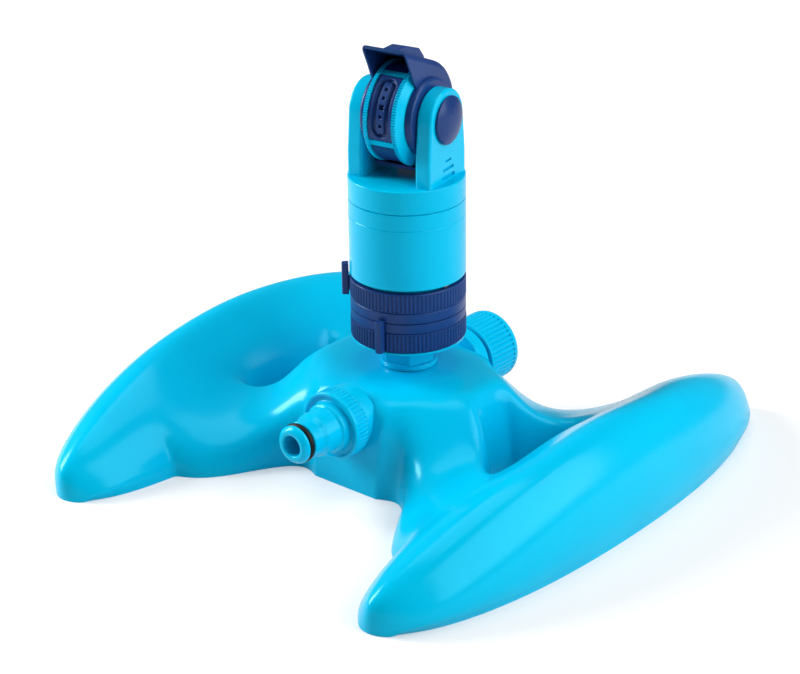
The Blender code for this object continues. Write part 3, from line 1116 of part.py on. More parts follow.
def make_drum(drum_axis):
    """Drum frame: two toothed flanges on one hub, four webs, and a port behind each nozzle plate."""
    bore = AXLE_RADIUS + FIT
    hub = bore + DRUM_HUB_WALL
    half = [(DRUM_CONE_RADIUS, DRUM_CONE_X), (DRUM_RADIUS - LAP, DRUM_RIM_X + TUCK),
            (DRUM_RADIUS, DRUM_RIM_X - TUCK / 2), (DRUM_RADIUS, DRUM_RIM_INNER_X), (hub, DRUM_RIM_INNER_X)]
    profile = [(bore, DRUM_CONE_X), *half, *[(r, -z) for r, z in reversed(half)], (bore, -DRUM_CONE_X)]
    frame = turned("drum_frame", profile, "cyan", drum_axis)
    web_half = PLATE_OUTER_RADIUS * math.radians(BAR_ANGLE_DEG) / 2
    for index in range(PATTERN_COUNT):
        angle = facing(DRUM_REST_DEG) + index * 360.0 / PATTERN_COUNT
        web = box("drum_web_%d" % index, (hub - LAP, -web_half, -DRUM_RIM_INNER_X - LAP),
                  (DRUM_RADIUS - LAP, web_half, DRUM_RIM_INNER_X + LAP), parent=drum_axis)
        web.rotation_euler = (0.0, 0.0, math.radians(angle + 180.0 / PATTERN_COUNT))
        port = cylinder("drum_port_%d" % index, DUCT_RADIUS + EDGE, bore - PAST, hub + PAST, parent=drum_axis,
                        steps=12)
        port.rotation_euler = (0.0, math.radians(90.0), math.radians(angle))
        join(frame, web)
        cut(frame, port)
    smooth(frame)


def sector(name, inner, outer, half_deg, low, high, finish=None, parent=None):
    """Part of a ring about local Z, centred on local +X."""
    steps = 10
    turns = [half_deg * (2.0 * step / steps - 1.0) for step in range(steps + 1)]
    outline = [polar(outer, turn) for turn in turns] + [polar(inner, turn) for turn in reversed(turns)]
    return prism(name, outline, low, high, finish, parent)


def jet(name, degrees, across, radius, parent):
    """A hole for one jet, through a nozzle plate along its radius."""
    tool = cylinder(name, radius, PLATE_OUTER_RADIUS - PLATE_SKIN - PAST, PLATE_OUTER_RADIUS + PAST,
                    parent=parent, steps=6)
    tool.location = (0.0, 0.0, across)
    tool.rotation_euler = (0.0, math.radians(90.0), math.radians(degrees))
    return tool


def make_plates(drum_axis):
    """Four nozzle plates, one for each spray pattern."""
    web_half = PLATE_OUTER_RADIUS * math.radians(BAR_ANGLE_DEG) / 2
    inner = PLATE_OUTER_RADIUS - PLATE_SKIN
    half_deg = 180.0 / PATTERN_COUNT - math.degrees(math.asin((web_half + FIT) / inner))
    edge = DRUM_RIM_INNER_X - FIT
    patterns = {
        "jet_row": [(JET_PITCH_DEG * k, 0.0, JET_RADIUS) for k in (-3, -2, -1, 1, 2, 3)]
        + [(math.degrees(x / PLATE_OUTER_RADIUS), y, JET_RADIUS * 0.7)
           for x, y in (polar(FLOWER_RADIUS, 90.0 * k) for k in range(4))],
        "shower": [(SHOWER_PITCH_DEG * a, SHOWER_PITCH * b, JET_RADIUS)
                   for a in (-1, 0, 1) for b in (-1, 0, 1)],
        "cone": [(0.0, 0.0, JET_RADIUS * 1.6)]
        + [(math.degrees(x / PLATE_OUTER_RADIUS), y, JET_RADIUS)
           for x, y in (polar(CONE_RING_RADIUS, 60.0 * k) for k in range(6))],
        "fan": [],
    }
    for index, (pattern, holes) in enumerate(patterns.items()):
        turn = (0.0, 0.0, math.radians(facing(DRUM_REST_DEG) - index * 360.0 / PATTERN_COUNT))
        place = axis_empty(pattern + "_place", (0.0, 0.0, 0.0), turn, drum_axis)
        plate = sector(pattern + "_nozzle_plate", inner, PLATE_OUTER_RADIUS, half_deg, -edge, edge, "navy",
                       place)
        for number, (degrees, across, radius) in enumerate(holes):
            cut(plate, jet("%s_hole_%d" % (pattern, number), degrees, across, radius, place))
        if pattern == "jet_row":
            floor = PLATE_OUTER_RADIUS - ROW_GROOVE_DEPTH
            for side in (-1.0, 1.0):
                low, high = sorted((side * ROW_RIB_HALF, side * ROW_HALF_WIDTH))
                cut(plate, sector("row_groove_%d" % side, floor, PLATE_OUTER_RADIUS + PAST, ROW_HALF_DEG, low,
                                  high, parent=place))
        if pattern == "fan":
            slit = box("fan_slit", (inner - PAST, -SLIT_HALF_WIDTH, -SLIT_HALF_LENGTH),
                       (PLATE_OUTER_RADIUS + PAST, SLIT_HALF_WIDTH, SLIT_HALF_LENGTH),
                       parent=place)
            cut(plate, slit)
        smooth(plate)


def round_long_edges(hood):
    """Round the hood's two long edges, between roof and cheeks, and leave the others sharp."""
    bm = bmesh.new()
    bm.from_mesh(hood.data)
    bmesh.ops.dissolve_limit(bm, angle_limit=math.radians(1.0), verts=bm.verts, edges=bm.edges)
    weight = bm.edges.layers.float.new("bevel_weight_edge")
    for edge in bm.edges:
        a, b = [vert.co for vert in edge.verts]
        square = edge.calc_face_angle(0.0) > math.radians(60.0)
        along_side = abs(a.z - b.z) < 0.00001
        on_roof = min(a.to_2d().length, b.to_2d().length) > HOOD_RADIUS - TUCK / 2
        at_lip = max(a.x, b.x) < HOOD_LIP_Y * 0.6
        edge[weight] = 1.0 if square and along_side and on_roof and not at_lip else 0.0
    bm.to_mesh(hood.data)
    bm.free()
    modifier = hood.modifiers.new("long_edges", "BEVEL")
    modifier.width = HOOD_ROUND
    modifier.segments = 2
    modifier.limit_method = "WEIGHT"
    modifier.use_clamp_overlap = False


def make_hood(hood_axis):
    """Hood that wraps over and behind the drum, with a disc on each side round the axle."""
    inner = HOOD_RADIUS - HOOD_SKIN
    lip_reach = math.hypot(HOOD_LIP_Y, HOOD_LIP_Z)
    lip_deg = math.degrees(math.atan2(HOOD_LIP_Z, HOOD_LIP_Y))
    tangent_deg = lip_deg - math.degrees(math.acos(HOOD_RADIUS / lip_reach))
    tail_deg = facing(HOOD_TAIL_DEG) - 360.0
    steps = 12
    turns = [tangent_deg + (tail_deg - tangent_deg) * step / steps for step in range(steps + 1)]
    side = [(HOOD_LIP_Y, HOOD_LIP_Z)] + [polar(HOOD_RADIUS, turn) for turn in turns]
    side += HOOD_FRONT_EDGE
    hood = prism("hood", side, -HOOD_HALF_WIDTH, HOOD_HALF_WIDTH, "navy", hood_axis)
    round_long_edges(hood)
    discs = cylinder("hood_discs", HOOD_DISC_RADIUS, -HOOD_DISC_X, HOOD_DISC_X, parent=hood_axis,
                     steps=BIG_STEPS)
    bevel(discs, EDGE, 2)
    along = polar(1.0, tangent_deg + 90.0)
    on_roof = polar(HOOD_RADIUS - HOOD_SKIN / 2, tangent_deg)
    rib_front = on_roof[1] + (on_roof[0] - RIB_FRONT_Y) * along[1] / -along[0]
    rib = prism("thumb_rib", [(RIB_FRONT_Y, rib_front), *RIB_CREST, on_roof], -RIB_HALF, RIB_HALF,
                parent=hood_axis)
    join(hood, discs, rib)
    turns = [tangent_deg - (tangent_deg + 180.0) * step / (2 * steps) for step in range(2 * steps + 1)]
    lip_length = math.sqrt(lip_reach ** 2 - HOOD_RADIUS ** 2) + PAST * 4
    start = polar(inner, tangent_deg)
    room_outline = [(start[0] + along[0] * lip_length, start[1] + along[1] * lip_length)]
    room_outline += [polar(inner, turn) for turn in turns]
    room_half = DRUM_CONE_X + FIT
    room = prism("drum_room", room_outline, -room_half, room_half, parent=hood_axis)
    bevel(room, HOOD_ROUND * 0.6, 1, 60.0)
    cut(hood, room, cylinder("hood_bore", AXLE_RADIUS + FIT, -HOOD_DISC_X - PAST, HOOD_DISC_X + PAST,
                             parent=hood_axis))
    smooth(hood)


def make_hub_caps(pivot):
    """Domed caps pressed in over the axle's ends."""
    low = ARM_OUTER_X + FIT
    rim = HUB_CAP_RIM
    dome = [(HUB_CAP_RADIUS * math.sin(turn), low + rim + (HUB_CAP_HEIGHT - rim) * math.cos(turn))
            for turn in (math.pi / 2 * step / 5 for step in range(6))]
    dome[0] = (0.0, low + HUB_CAP_HEIGHT)
    profile = dome + [(HUB_CAP_RADIUS, low), (PLUG_RADIUS, low), (PLUG_RADIUS, AXLE_SEAT_X + FIT),
                      (0.0, AXLE_SEAT_X + FIT)]
    right = turned("right_hub_cap", profile, "navy", pivot, MID_STEPS)
    left = turned("left_hub_cap", profile, "navy", pivot, MID_STEPS)
    left.rotation_euler = (math.pi, 0.0, 0.0)
    smooth(right)
    smooth(left)


def make_sprinkler():
    make_base()
    make_inlet()
    make_outlet()
    make_riser()
    make_collars()
    head = axis_empty("head_turn", (0.0, 0.0, 0.0), (0.0, 0.0, math.radians(HEAD_YAW_DEG)))
    make_housing(head)
    make_gears(head)
    make_gear_plates(head)
    lie_across = (math.radians(90.0), 0.0, math.radians(90.0))
    pivot = axis_empty("pivot_seat", (0.0, 0.0, PIVOT_Z), lie_across, head)
    drum_axis = axis_empty("drum_turn", (0.0, 0.0, PIVOT_Z), lie_across, head)
    hood_axis = axis_empty("hood_tilt", (0.0, 0.0, PIVOT_Z), lie_across, head)
    make_fork(head, pivot)
    make_axle(pivot)
    make_drum(drum_axis)
    make_plates(drum_axis)
    make_hood(hood_axis)
    make_hub_caps(pivot)


make_sprinkler()
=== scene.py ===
# %% [markdown]
# # A rotary garden sprinkler, finished part by part
#
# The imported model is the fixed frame: it holds the sizes, the joints and the collision. This file gives
# each piece that the eye can reach its fine form and its finish. Every finished piece is built where it
# stands, in metres, with +Z up, the hose end towards -Y, and the tower on the Z axis.

# %% Load the fixed frame
import math

import bmesh
import bpy
from mathutils import Euler, Matrix, Vector


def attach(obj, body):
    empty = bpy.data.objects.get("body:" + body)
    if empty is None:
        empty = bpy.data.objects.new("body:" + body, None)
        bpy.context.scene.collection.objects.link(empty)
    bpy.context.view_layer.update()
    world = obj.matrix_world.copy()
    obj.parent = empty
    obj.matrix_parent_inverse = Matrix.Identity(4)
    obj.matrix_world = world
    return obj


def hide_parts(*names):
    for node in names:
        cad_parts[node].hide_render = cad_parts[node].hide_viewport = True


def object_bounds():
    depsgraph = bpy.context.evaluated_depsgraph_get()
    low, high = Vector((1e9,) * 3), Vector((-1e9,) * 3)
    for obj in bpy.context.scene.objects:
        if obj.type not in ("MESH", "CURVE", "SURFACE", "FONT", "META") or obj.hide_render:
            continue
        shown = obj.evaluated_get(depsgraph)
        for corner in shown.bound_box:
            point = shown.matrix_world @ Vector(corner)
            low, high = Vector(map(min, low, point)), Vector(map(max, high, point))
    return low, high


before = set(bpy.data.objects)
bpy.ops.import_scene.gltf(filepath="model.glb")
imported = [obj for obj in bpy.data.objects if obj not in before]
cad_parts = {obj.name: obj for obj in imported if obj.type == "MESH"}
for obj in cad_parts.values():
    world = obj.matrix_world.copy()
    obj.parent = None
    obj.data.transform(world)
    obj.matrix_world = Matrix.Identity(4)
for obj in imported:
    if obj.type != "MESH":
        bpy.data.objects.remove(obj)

cad_box = [[float(v) for v in corner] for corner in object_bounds()]
print("frame box in metres:", cad_box)

# %% [markdown]
# ## Colours and one node helper
#
# Colours are picked as sRGB hex values, the way a colour chart gives them. Shaders work in linear light,
# so one function turns a hex value into linear numbers. One more small function adds a shader node with
# its settings and its links, which keeps the materials short enough to read.


# %% Colour and node helpers
def linear(hex_colour):
    """sRGB hex, such as 05AEE2, as linear RGBA."""
    channels = [int(hex_colour[i:i + 2], 16) / 255 for i in (0, 2, 4)]
    return tuple(c / 12.92 if c <= 0.04045 else ((c + 0.055) / 1.055) ** 2.4 for c in channels) + (1.0,)


def add_node(tree, kind, inputs=(), **settings):
    """Add a node; an input takes a value, or a link where it is given another node's socket."""
    made = tree.nodes.new(kind)
    for key, value in settings.items():
        setattr(made, key, value)
    for key, value in dict(inputs).items():
        if isinstance(value, bpy.types.NodeSocket):
            tree.links.new(value, made.inputs[key])
        else:
            made.inputs[key].default_value = value
    return made


def blank_material(name, **uniform):
    """A material with one Principled shader, its uniform values set on the shader's own sockets."""
    material = bpy.data.materials.new(name)
    material.use_nodes = True
    shader = material.node_tree.nodes["Principled BSDF"]
    for key, value in uniform.items():
        shader.inputs[key.replace("_", " ")].default_value = value
    return material, material.node_tree, shader


print("a middle grey of 808080 is %.4f in linear light" % linear("808080")[0])

# %% [markdown]
# ## Moulded ABS
#
# The base, the tower and the fork are injection-moulded ABS from a polished mould: a dense, even colour,
# a clear gloss, and the faint long waves that the plastic keeps where it shrank over its ribs. The navy
# pieces come from a mould with a fine satin grain, so their highlights are wider and softer. Both are one
# recipe: colour that drifts a little over some centimetres, roughness that drifts with it, a long soft
# wave and a fine grain in the bump. The real grain is about 0.1 mm, too fine for the picture, so it is
# drawn at 0.5 mm on the cyan pieces and 0.4 mm on the navy ones. Highlights on strongly coloured plastic
# stay a little coloured in the photograph, so the reflection is tinted and kept lower than usual.

# %% Moulded ABS materials
GLOSS_HEX, GLOSS_DEEP_HEX = "00BBE3", "00B5DF"
SATIN_HEX, SATIN_DEEP_HEX = "193B78", "15336B"
GLOSS_SHEEN = (0.25, 0.90, 1.0, 1.0)
SATIN_SHEEN = (0.70, 0.85, 1.0, 1.0)
ABS_IOR = 1.54
DRIFT_MM = 38.0
BUMP_STRENGTH = 0.5
# Where the drifting noise, from 0 to 1, gives the deep and the main colour, and the span that sets the gloss
DEEP_AT, MAIN_AT = 0.30, 0.62
DRIFT_LOW, DRIFT_HIGH = 0.3, 0.7


def moulded_abs(name, hexes, roughness, spread, reflection, sheen,
                wave_mm, wave_height, grain_mm, grain_height):
    """Injection-moulded ABS: drifting colour and gloss, shrink waves and mould grain."""
    material, tree, shader = blank_material(
        name, IOR=ABS_IOR, Specular_IOR_Level=reflection, Specular_Tint=sheen)
    place = add_node(tree, "ShaderNodeTexCoord").outputs["Object"]
    drift, wave, grain = [
        add_node(tree, "ShaderNodeTexNoise", {
            "Vector": place, "Scale": 1000.0 / width_mm, "Detail": detail}).outputs["Fac"]
        for width_mm, detail in ((DRIFT_MM, 3.0), (wave_mm, 0.0), (grain_mm, 1.0))]
    colour = add_node(tree, "ShaderNodeValToRGB", {"Fac": drift})
    main_hex, deep_hex = hexes
    deep, main = colour.color_ramp.elements
    deep.position = DEEP_AT
    deep.color = linear(deep_hex)
    main.position = MAIN_AT
    main.color = linear(main_hex)
    gloss = add_node(tree, "ShaderNodeMapRange", {
        "Value": drift, "From Min": DRIFT_LOW, "From Max": DRIFT_HIGH,
        "To Min": roughness - spread, "To Max": roughness + spread})
    waved = add_node(tree, "ShaderNodeBump", {
        "Height": wave, "Distance": wave_height, "Strength": BUMP_STRENGTH})
    grained = add_node(tree, "ShaderNodeBump", {
        "Height": grain, "Distance": grain_height, "Strength": BUMP_STRENGTH,
        "Normal": waved.outputs["Normal"]})
    tree.links.new(colour.outputs["Color"], shader.inputs["Base Color"])
    tree.links.new(gloss.outputs["Result"], shader.inputs["Roughness"])
    tree.links.new(grained.outputs["Normal"], shader.inputs["Normal"])
    return material


cyan_abs = moulded_abs(
    "glossy_cyan_moulded_abs", (GLOSS_HEX, GLOSS_DEEP_HEX), roughness=0.18, spread=0.02, reflection=0.25,
    sheen=GLOSS_SHEEN, wave_mm=30.0, wave_height=0.00002, grain_mm=0.5, grain_height=0.0000015)
navy_abs = moulded_abs(
    "satin_navy_moulded_abs", (SATIN_HEX, SATIN_DEEP_HEX), roughness=0.30, spread=0.04, reflection=0.30,
    sheen=SATIN_SHEEN, wave_mm=12.0, wave_height=0.00004, grain_mm=0.4, grain_height=0.000010)
CYAN = ("cyan_plastic", cyan_abs)
NAVY = ("navy_plastic", navy_abs)
print("moulded ABS:", cyan_abs.name, navy_abs.name)

# %% [markdown]
# ## Rubber, acetal and screw steel
#
# The O-ring and the washers are black nitrile rubber, matt with a faint bloom. The gears, the plates and
# the strainer are natural acetal: a milky white with a waxy half gloss. The three gear-plate screws are
# plain stainless steel, a little uneven from turning. All three are one recipe: a main colour, a second
# one in fine spots, and the same spots as a very low bump. The real spots are too fine to show, so they are
# drawn at 0.4 mm on steel, 0.9 mm on rubber and 3 mm on acetal.

# %% Rubber, acetal and steel materials
RUBBER_HEX, RUBBER_BLOOM_HEX = "060607", "0F0F11"
ACETAL_HEX, ACETAL_SHADE_HEX = "EDEBE2", "E2DFD3"
STEEL_HEX, STEEL_SHADE_HEX = "C4C6C8", "A9ABAE"
SPOT_STRENGTH = 0.6


def speckled(name, hexes, spot_mm, height, **uniform):
    """A plain finish with fine mottling, for rubber, acetal and turned steel."""
    material, tree, shader = blank_material(name, **uniform)
    place = add_node(tree, "ShaderNodeTexCoord").outputs["Object"]
    noise = add_node(tree, "ShaderNodeTexNoise", {"Vector": place, "Scale": 1000.0 / spot_mm, "Detail": 4.0})
    spots = noise.outputs["Fac"]
    light_hex, dark_hex = hexes
    colour = add_node(tree, "ShaderNodeMix", {
        "Factor": spots, "A": linear(dark_hex), "B": linear(light_hex)}, data_type="RGBA")
    bump = add_node(tree, "ShaderNodeBump", {"Height": spots, "Distance": height, "Strength": SPOT_STRENGTH})
    tree.links.new(colour.outputs["Result"], shader.inputs["Base Color"])
    tree.links.new(bump.outputs["Normal"], shader.inputs["Normal"])
    return material


nitrile = speckled("matt_black_nitrile_rubber", (RUBBER_BLOOM_HEX, RUBBER_HEX), spot_mm=0.9, height=0.00003,
                   Roughness=0.5, IOR=1.52, Specular_IOR_Level=0.25)
acetal = speckled("natural_white_acetal", (ACETAL_HEX, ACETAL_SHADE_HEX), spot_mm=3.0, height=0.00001,
                  Roughness=0.35, IOR=1.48)
steel = speckled("turned_stainless_steel", (STEEL_HEX, STEEL_SHADE_HEX), spot_mm=0.4, height=0.00001,
                 Roughness=0.28, Metallic=1.0)
print("other finishes:", nitrile.name, acetal.name, steel.name)

# %% [markdown]
# ## Working objects
#
# A piece starts as one or more working objects with modifiers on them. When one is done, its modifiers
# are applied, its place goes into the mesh, and the working object is removed, so that the finished piece
# can sit at the origin: the patterns on Object coordinates count on that.


# %% Working objects
def raw_object(name, mesh, place=None):
    """A working object, at a place given by a matrix."""
    obj = bpy.data.objects.new(name, mesh)
    bpy.context.scene.collection.objects.link(obj)
    if place is not None:
        obj.matrix_world = place
    return obj


def object_from(name, bm, place=None):
    """A working object from an edit mesh, which is freed."""
    mesh = bpy.data.meshes.new(name)
    bm.to_mesh(mesh)
    bm.free()
    return raw_object(name, mesh, place)


def baked(obj):
    """The mesh with all modifiers applied and its place worked in; the working object is removed."""
    bpy.context.view_layer.update()
    evaluated = obj.evaluated_get(bpy.context.evaluated_depsgraph_get())
    mesh = bpy.data.meshes.new_from_object(evaluated)
    mesh.transform(obj.matrix_world)
    name = obj.name
    bpy.data.objects.remove(obj, do_unlink=True)
    mesh.name = name
    return mesh


# %% [markdown]
# ## Turning and extruding
#
# Most pieces are round, so an outline is swept about an axis by a Screw modifier, the way a lathe would
# make it. Flat pieces are an outline given a thickness. A Bevel modifier breaks their edges as a mould
# does, because no moulded edge is as sharp as a knife.

# %% Turning and extruding
TURN_STEPS = 144
FINE_STEPS = 96
MERGE_DISTANCE = 0.00001


def polar(radius, degrees):
    """A point on a circle."""
    return radius * math.cos(math.radians(degrees)), radius * math.sin(math.radians(degrees))


def soften(obj, width, segments=2, angle_deg=28.0):
    """Break the edges as a mould does."""
    edges = obj.modifiers.new("soft_edges", "BEVEL")
    edges.width = width
    edges.segments = segments
    edges.limit_method = "ANGLE"
    edges.angle_limit = math.radians(angle_deg)
    return obj


def turned(name, profile, place=None, steps=TURN_STEPS, edge=0.0):
    """Turn an outline of (radius, height) round local Z; one that starts on the axis stays open there."""
    count = len(profile)
    ahead = [*profile[1:], profile[0]]
    if sum(a[0] * b[1] - b[0] * a[1] for a, b in zip(profile, ahead)) > 0.0:
        profile = profile[::-1]
    solid = profile[0][0] == 0.0
    edges = [(i, (i + 1) % count) for i in range(count - 1 if solid else count)]
    mesh = bpy.data.meshes.new(name)
    mesh.from_pydata([(radius, 0.0, height) for radius, height in profile], edges, [])
    obj = raw_object(name, mesh, place)
    screw = obj.modifiers.new("turn", "SCREW")
    screw.steps = steps
    screw.render_steps = steps
    screw.use_merge_vertices = True
    screw.merge_threshold = MERGE_DISTANCE
    if edge:
        soften(obj, edge)
    return obj


def cylinder(name, radius, low, high, place, steps):
    """A solid round bar, used to cut a bore."""
    return turned(name, [(0.0, low), (radius, low), (radius, high), (0.0, high)], place, steps)


def prism(name, outline, low, high, place=None, edge=0.0, segments=3):
    """A flat outline in local XY with its thickness along local Z."""
    bm = bmesh.new()
    bottom = [bm.verts.new((x, y, low)) for x, y in outline]
    top = [bm.verts.new((x, y, high)) for x, y in outline]
    bm.faces.new(bottom)
    bm.faces.new(top)
    for i in range(len(outline)):
        j = (i + 1) % len(outline)
        bm.faces.new((bottom[i], bottom[j], top[j], top[i]))
    bmesh.ops.recalc_face_normals(bm, faces=bm.faces)
    obj = object_from(name, bm, place)
    if edge:
        soften(obj, edge, segments, 40.0)
    return obj


def block(name, low, high, place):
    """A plain box between two corners."""
    (x0, y0, z0), (x1, y1, z1) = low, high
    return prism(name, [(x0, y0), (x1, y0), (x1, y1), (x0, y1)], z0, z1, place)


print("steps round a large turned piece:", TURN_STEPS, "and round a small one:", FINE_STEPS)

# %% [markdown]
# ## Adding, cutting and settling
#
# Bores, slots and grips are added to a piece or cut from it by a Boolean modifier with its exact solver,
# which keeps the result closed. Settling a piece joins its parts, merges doubles, smooths the faces but
# keeps real edges sharp, and hands the mesh to the frame: which body it rides, which of the frame's nodes
# it replaces, and which finish it wears.

# %% Adding, cutting and settling
JOIN_DISTANCE = 0.000002


def boolean(obj, tool, operation):
    """Add or take away a tool, then remove the tool."""
    modifier = obj.modifiers.new(operation, "BOOLEAN")
    modifier.operation = operation
    modifier.solver = "EXACT"
    modifier.object = tool
    mesh = baked(obj)
    bpy.data.objects.remove(tool, do_unlink=True)
    return raw_object(mesh.name, mesh)


def cut_all(obj, tools):
    """Cut every tool from an object."""
    for tool in tools:
        obj = boolean(obj, tool, "DIFFERENCE")
    return obj


def add_all(obj, tools):
    """Add every tool to an object."""
    for tool in tools:
        obj = boolean(obj, tool, "UNION")
    return obj


def settle(name, pieces, body, replaced, slot, material, sharp_deg):
    """Join the pieces into one mesh at the origin, smooth it, and hand it to its body."""
    joined = bmesh.new()
    for piece in pieces:
        mesh = baked(piece)
        joined.from_mesh(mesh)
        bpy.data.meshes.remove(mesh)
    bmesh.ops.remove_doubles(joined, verts=joined.verts, dist=JOIN_DISTANCE)
    obj = object_from(name, joined)
    obj.data.materials.clear()
    obj.data.materials.append(material)
    for polygon in obj.data.polygons:
        polygon.material_index = 0
    obj.data.shade_smooth()
    obj.data.set_sharp_from_angle(angle=math.radians(sharp_deg))
    normals = obj.modifiers.new("even_normals", "WEIGHTED_NORMAL")
    normals.keep_sharp = True
    mesh = baked(obj)
    finished = raw_object(name, mesh)
    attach(finished, body)
    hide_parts(*replaced)
    print("%-22s %6d faces on %s" % (name, len(mesh.polygons), body))


print("points closer than %.3f mm become one when a piece is settled" % (JOIN_DISTANCE * 1000.0))

# %% [markdown]
# ## The base: one smooth shell
#
# The real base is a single moulding: two long runners, four arms that flow into them, and a pedestal in
# the middle. Such a soft form is a coarse cage of quads under a Subdivision Surface. Half of it is drawn,
# a quarter at a time, from a few section rules, and mirrored. It could also be sculpted, but then no size
# could be changed afterwards. First come the sizes that the whole base shares.

# %% Base sizes
WALL = 0.0024
RUNNER_HALF_LENGTH = 0.1245
RUNNER_OUTER_X = 0.1205
RUNNER_INNER_X = 0.0625
RUNNER_CREST_X = 0.1027
RUNNER_TIP_X = 0.0860
RUNNER_HEIGHT = 0.0484
PEDESTAL_TOP_Z = 0.0445
PEDESTAL_FRONT_Y = 0.0436
PEDESTAL_REAR_Y = 0.0370
PEDESTAL_CORNER_X = 0.0173
PEDESTAL_SIDE_X = 0.0440
HOLE_OUTER_X = 0.0690
HOLE_HALF_LENGTH = 0.0245
ARM_SADDLE_Z = 0.0246
# A smoothed surface lies a little inside its cage, so heights are swollen by this share
CAGE_SWELL = 1.028


def mm(metres):
    """A size in millimetres, for the notes that the cells print."""
    return round(metres * 1000.0, 2)


print("runner: %g mm long, %g mm high" % (mm(2 * RUNNER_HALF_LENGTH), mm(RUNNER_HEIGHT)))

# %% [markdown]
# ### Runner
#
# A runner is a long rounded boat, highest in the middle, that swells outwards and is flatter towards the
# pedestal. Its section is described once, as rows from the outer ground edge over the crest to the inner
# one, and set at nine stations from the middle to the tip. Four lines, each with its own curve, say how
# the section shrinks: outer edge, inner edge, crest and height. The rows by the hole are laid over.

# %% Runner cage
# Across a runner: how far from the crest line, how high, and the share of the roll above the ground edge
RUNNER_OUTER_ROWS = (
    (1.0, 0.0, 0.0), (1.0, 0.19, 1.0), (0.92, 0.50, 0.8), (0.60, 0.84, 0.3), (0.0, 1.0, 0.0))
RUNNER_INNER_ROWS = (
    (0.33, 0.89, 0.0), (0.66, 0.64, 0.1), (0.84, 0.40, 0.3), (0.95, 0.19, 1.0), (1.0, 0.0, 0.0))
RUNNER_STATIONS = (0.0, 0.16, 0.34, 0.50, 0.66, 0.80, 0.90, 0.965)
CREST_ROW = len(RUNNER_OUTER_ROWS) - 1
SHOULDER_ROW = CREST_ROW + 2
GROUND_ROW = CREST_ROW + len(RUNNER_INNER_ROWS)
# The greater its power, the longer a line keeps away from the tip
OUTER_POWER = 2.25
INNER_POWER = 4.6
CREST_POWER = 2.6
HEIGHT_POWER, HEIGHT_ROUND = 1.75, 0.46
NOSE_REACH = 0.014
OUTER_ROLL, OUTER_ROLL_GROWTH = 0.0020, 0.0032
INNER_ROLL = 0.0040
TIP_SHARE, TIP_START, TIP_BULGE, TIP_ROUND = 0.970, 0.974, 0.052, 0.8
# By the hole: row, how far outwards from its edge, share of the height, and how much longer than the hole
HOLE_ROWS = (
    (SHOULDER_ROW - 1, 0.021, 0.85, 1.62), (SHOULDER_ROW, 0.0085, 0.67, 1.36),
    (SHOULDER_ROW + 1, 0.0040, 0.46, 1.22), (SHOULDER_ROW + 2, 0.0010, 0.24, 1.08),
    (GROUND_ROW, 0.0, 0.0, 1.0))
HOLE_STATIONS = (0.0, 0.52, 1.0)
HOLE_DROP = 0.09


def runner_section(share):
    """Outer edge, inner edge, crest line and height of a runner at a share of its half length."""
    outer = RUNNER_TIP_X + (RUNNER_OUTER_X - RUNNER_TIP_X) * math.sqrt(1.0 - share ** OUTER_POWER)
    inner = RUNNER_TIP_X - (RUNNER_TIP_X - RUNNER_INNER_X) * math.sqrt(1.0 - share ** INNER_POWER)
    crest = RUNNER_TIP_X + (RUNNER_CREST_X - RUNNER_TIP_X) * (1.0 - share ** CREST_POWER)
    height = RUNNER_HEIGHT * (1.0 - share ** HEIGHT_POWER) ** HEIGHT_ROUND
    return outer, inner, crest, height


def runner_points():
    """Cage points of a quarter runner, keyed by station and row."""
    points = {}
    for station, share in enumerate(RUNNER_STATIONS):
        outer, inner, crest, height = runner_section(share)
        along = share * RUNNER_HALF_LENGTH
        nose = NOSE_REACH * share ** 10
        outer_roll = OUTER_ROLL + OUTER_ROLL_GROWTH * share ** 2
        inner_roll = INNER_ROLL * share ** 6
        rows = [(crest + (outer - crest) * a + outer_roll * c, a, b) for a, b, c in RUNNER_OUTER_ROWS]
        rows += [(crest - (crest - inner) * a - inner_roll * c, a, b) for a, b, c in RUNNER_INNER_ROWS]
        for row, (x, a, b) in enumerate(rows):
            points["runner", station, row] = (x, -along - nose * (1.0 - a * a), height * b * CAGE_SWELL)
    last = len(RUNNER_STATIONS)
    outer, inner, _, _ = runner_section(TIP_SHARE)
    middle = (outer + inner) / 2
    half = (outer - inner) / 2
    for row in range(GROUND_ROW + 1):
        turn = math.pi * row / GROUND_ROW
        along = RUNNER_HALF_LENGTH * (TIP_START + TIP_BULGE * math.sin(turn) ** TIP_ROUND)
        points["runner", last, row] = (middle + half * math.cos(turn), -along, 0.0)
    for row, lean, rise, spread in HOLE_ROWS:
        for station, along in enumerate(HOLE_STATIONS):
            height = RUNNER_HEIGHT * rise * (1.0 - HOLE_DROP * along)
            points["runner", station, row] = (HOLE_OUTER_X + lean, -HOLE_HALF_LENGTH * along * spread, height)
    return points


print("cage points in a quarter of a runner:", len(runner_points()))

# %% [markdown]
# ### Arms
#
# Each arm leaves the pedestal near its full height, dips to a saddle and runs into the runner. Three
# paths guide it: its front foot, its crest and its rear foot. At each station the section goes up from
# the front foot, over the crest and down to the rear foot, which is the edge of the hole.

# %% Arm cage
# From the front or rear foot of the root: steps in x and y, and the share of the pedestal's height
ROOT_FRONT_ROWS = (
    (0.0, 0.0, 0.0), (-0.0002, 0.0010, 0.32), (-0.0003, 0.0030, 0.65), (0.0005, 0.0080, 0.92))
ROOT_CREST_ROW = (0.0, 0.0, 0.985)
ROOT_REAR_ROWS = (
    (-0.0065, -0.0015, 0.97), (-0.0030, -0.0008, 0.67), (-0.0010, -0.0003, 0.34), (0.0, 0.0, 0.0))
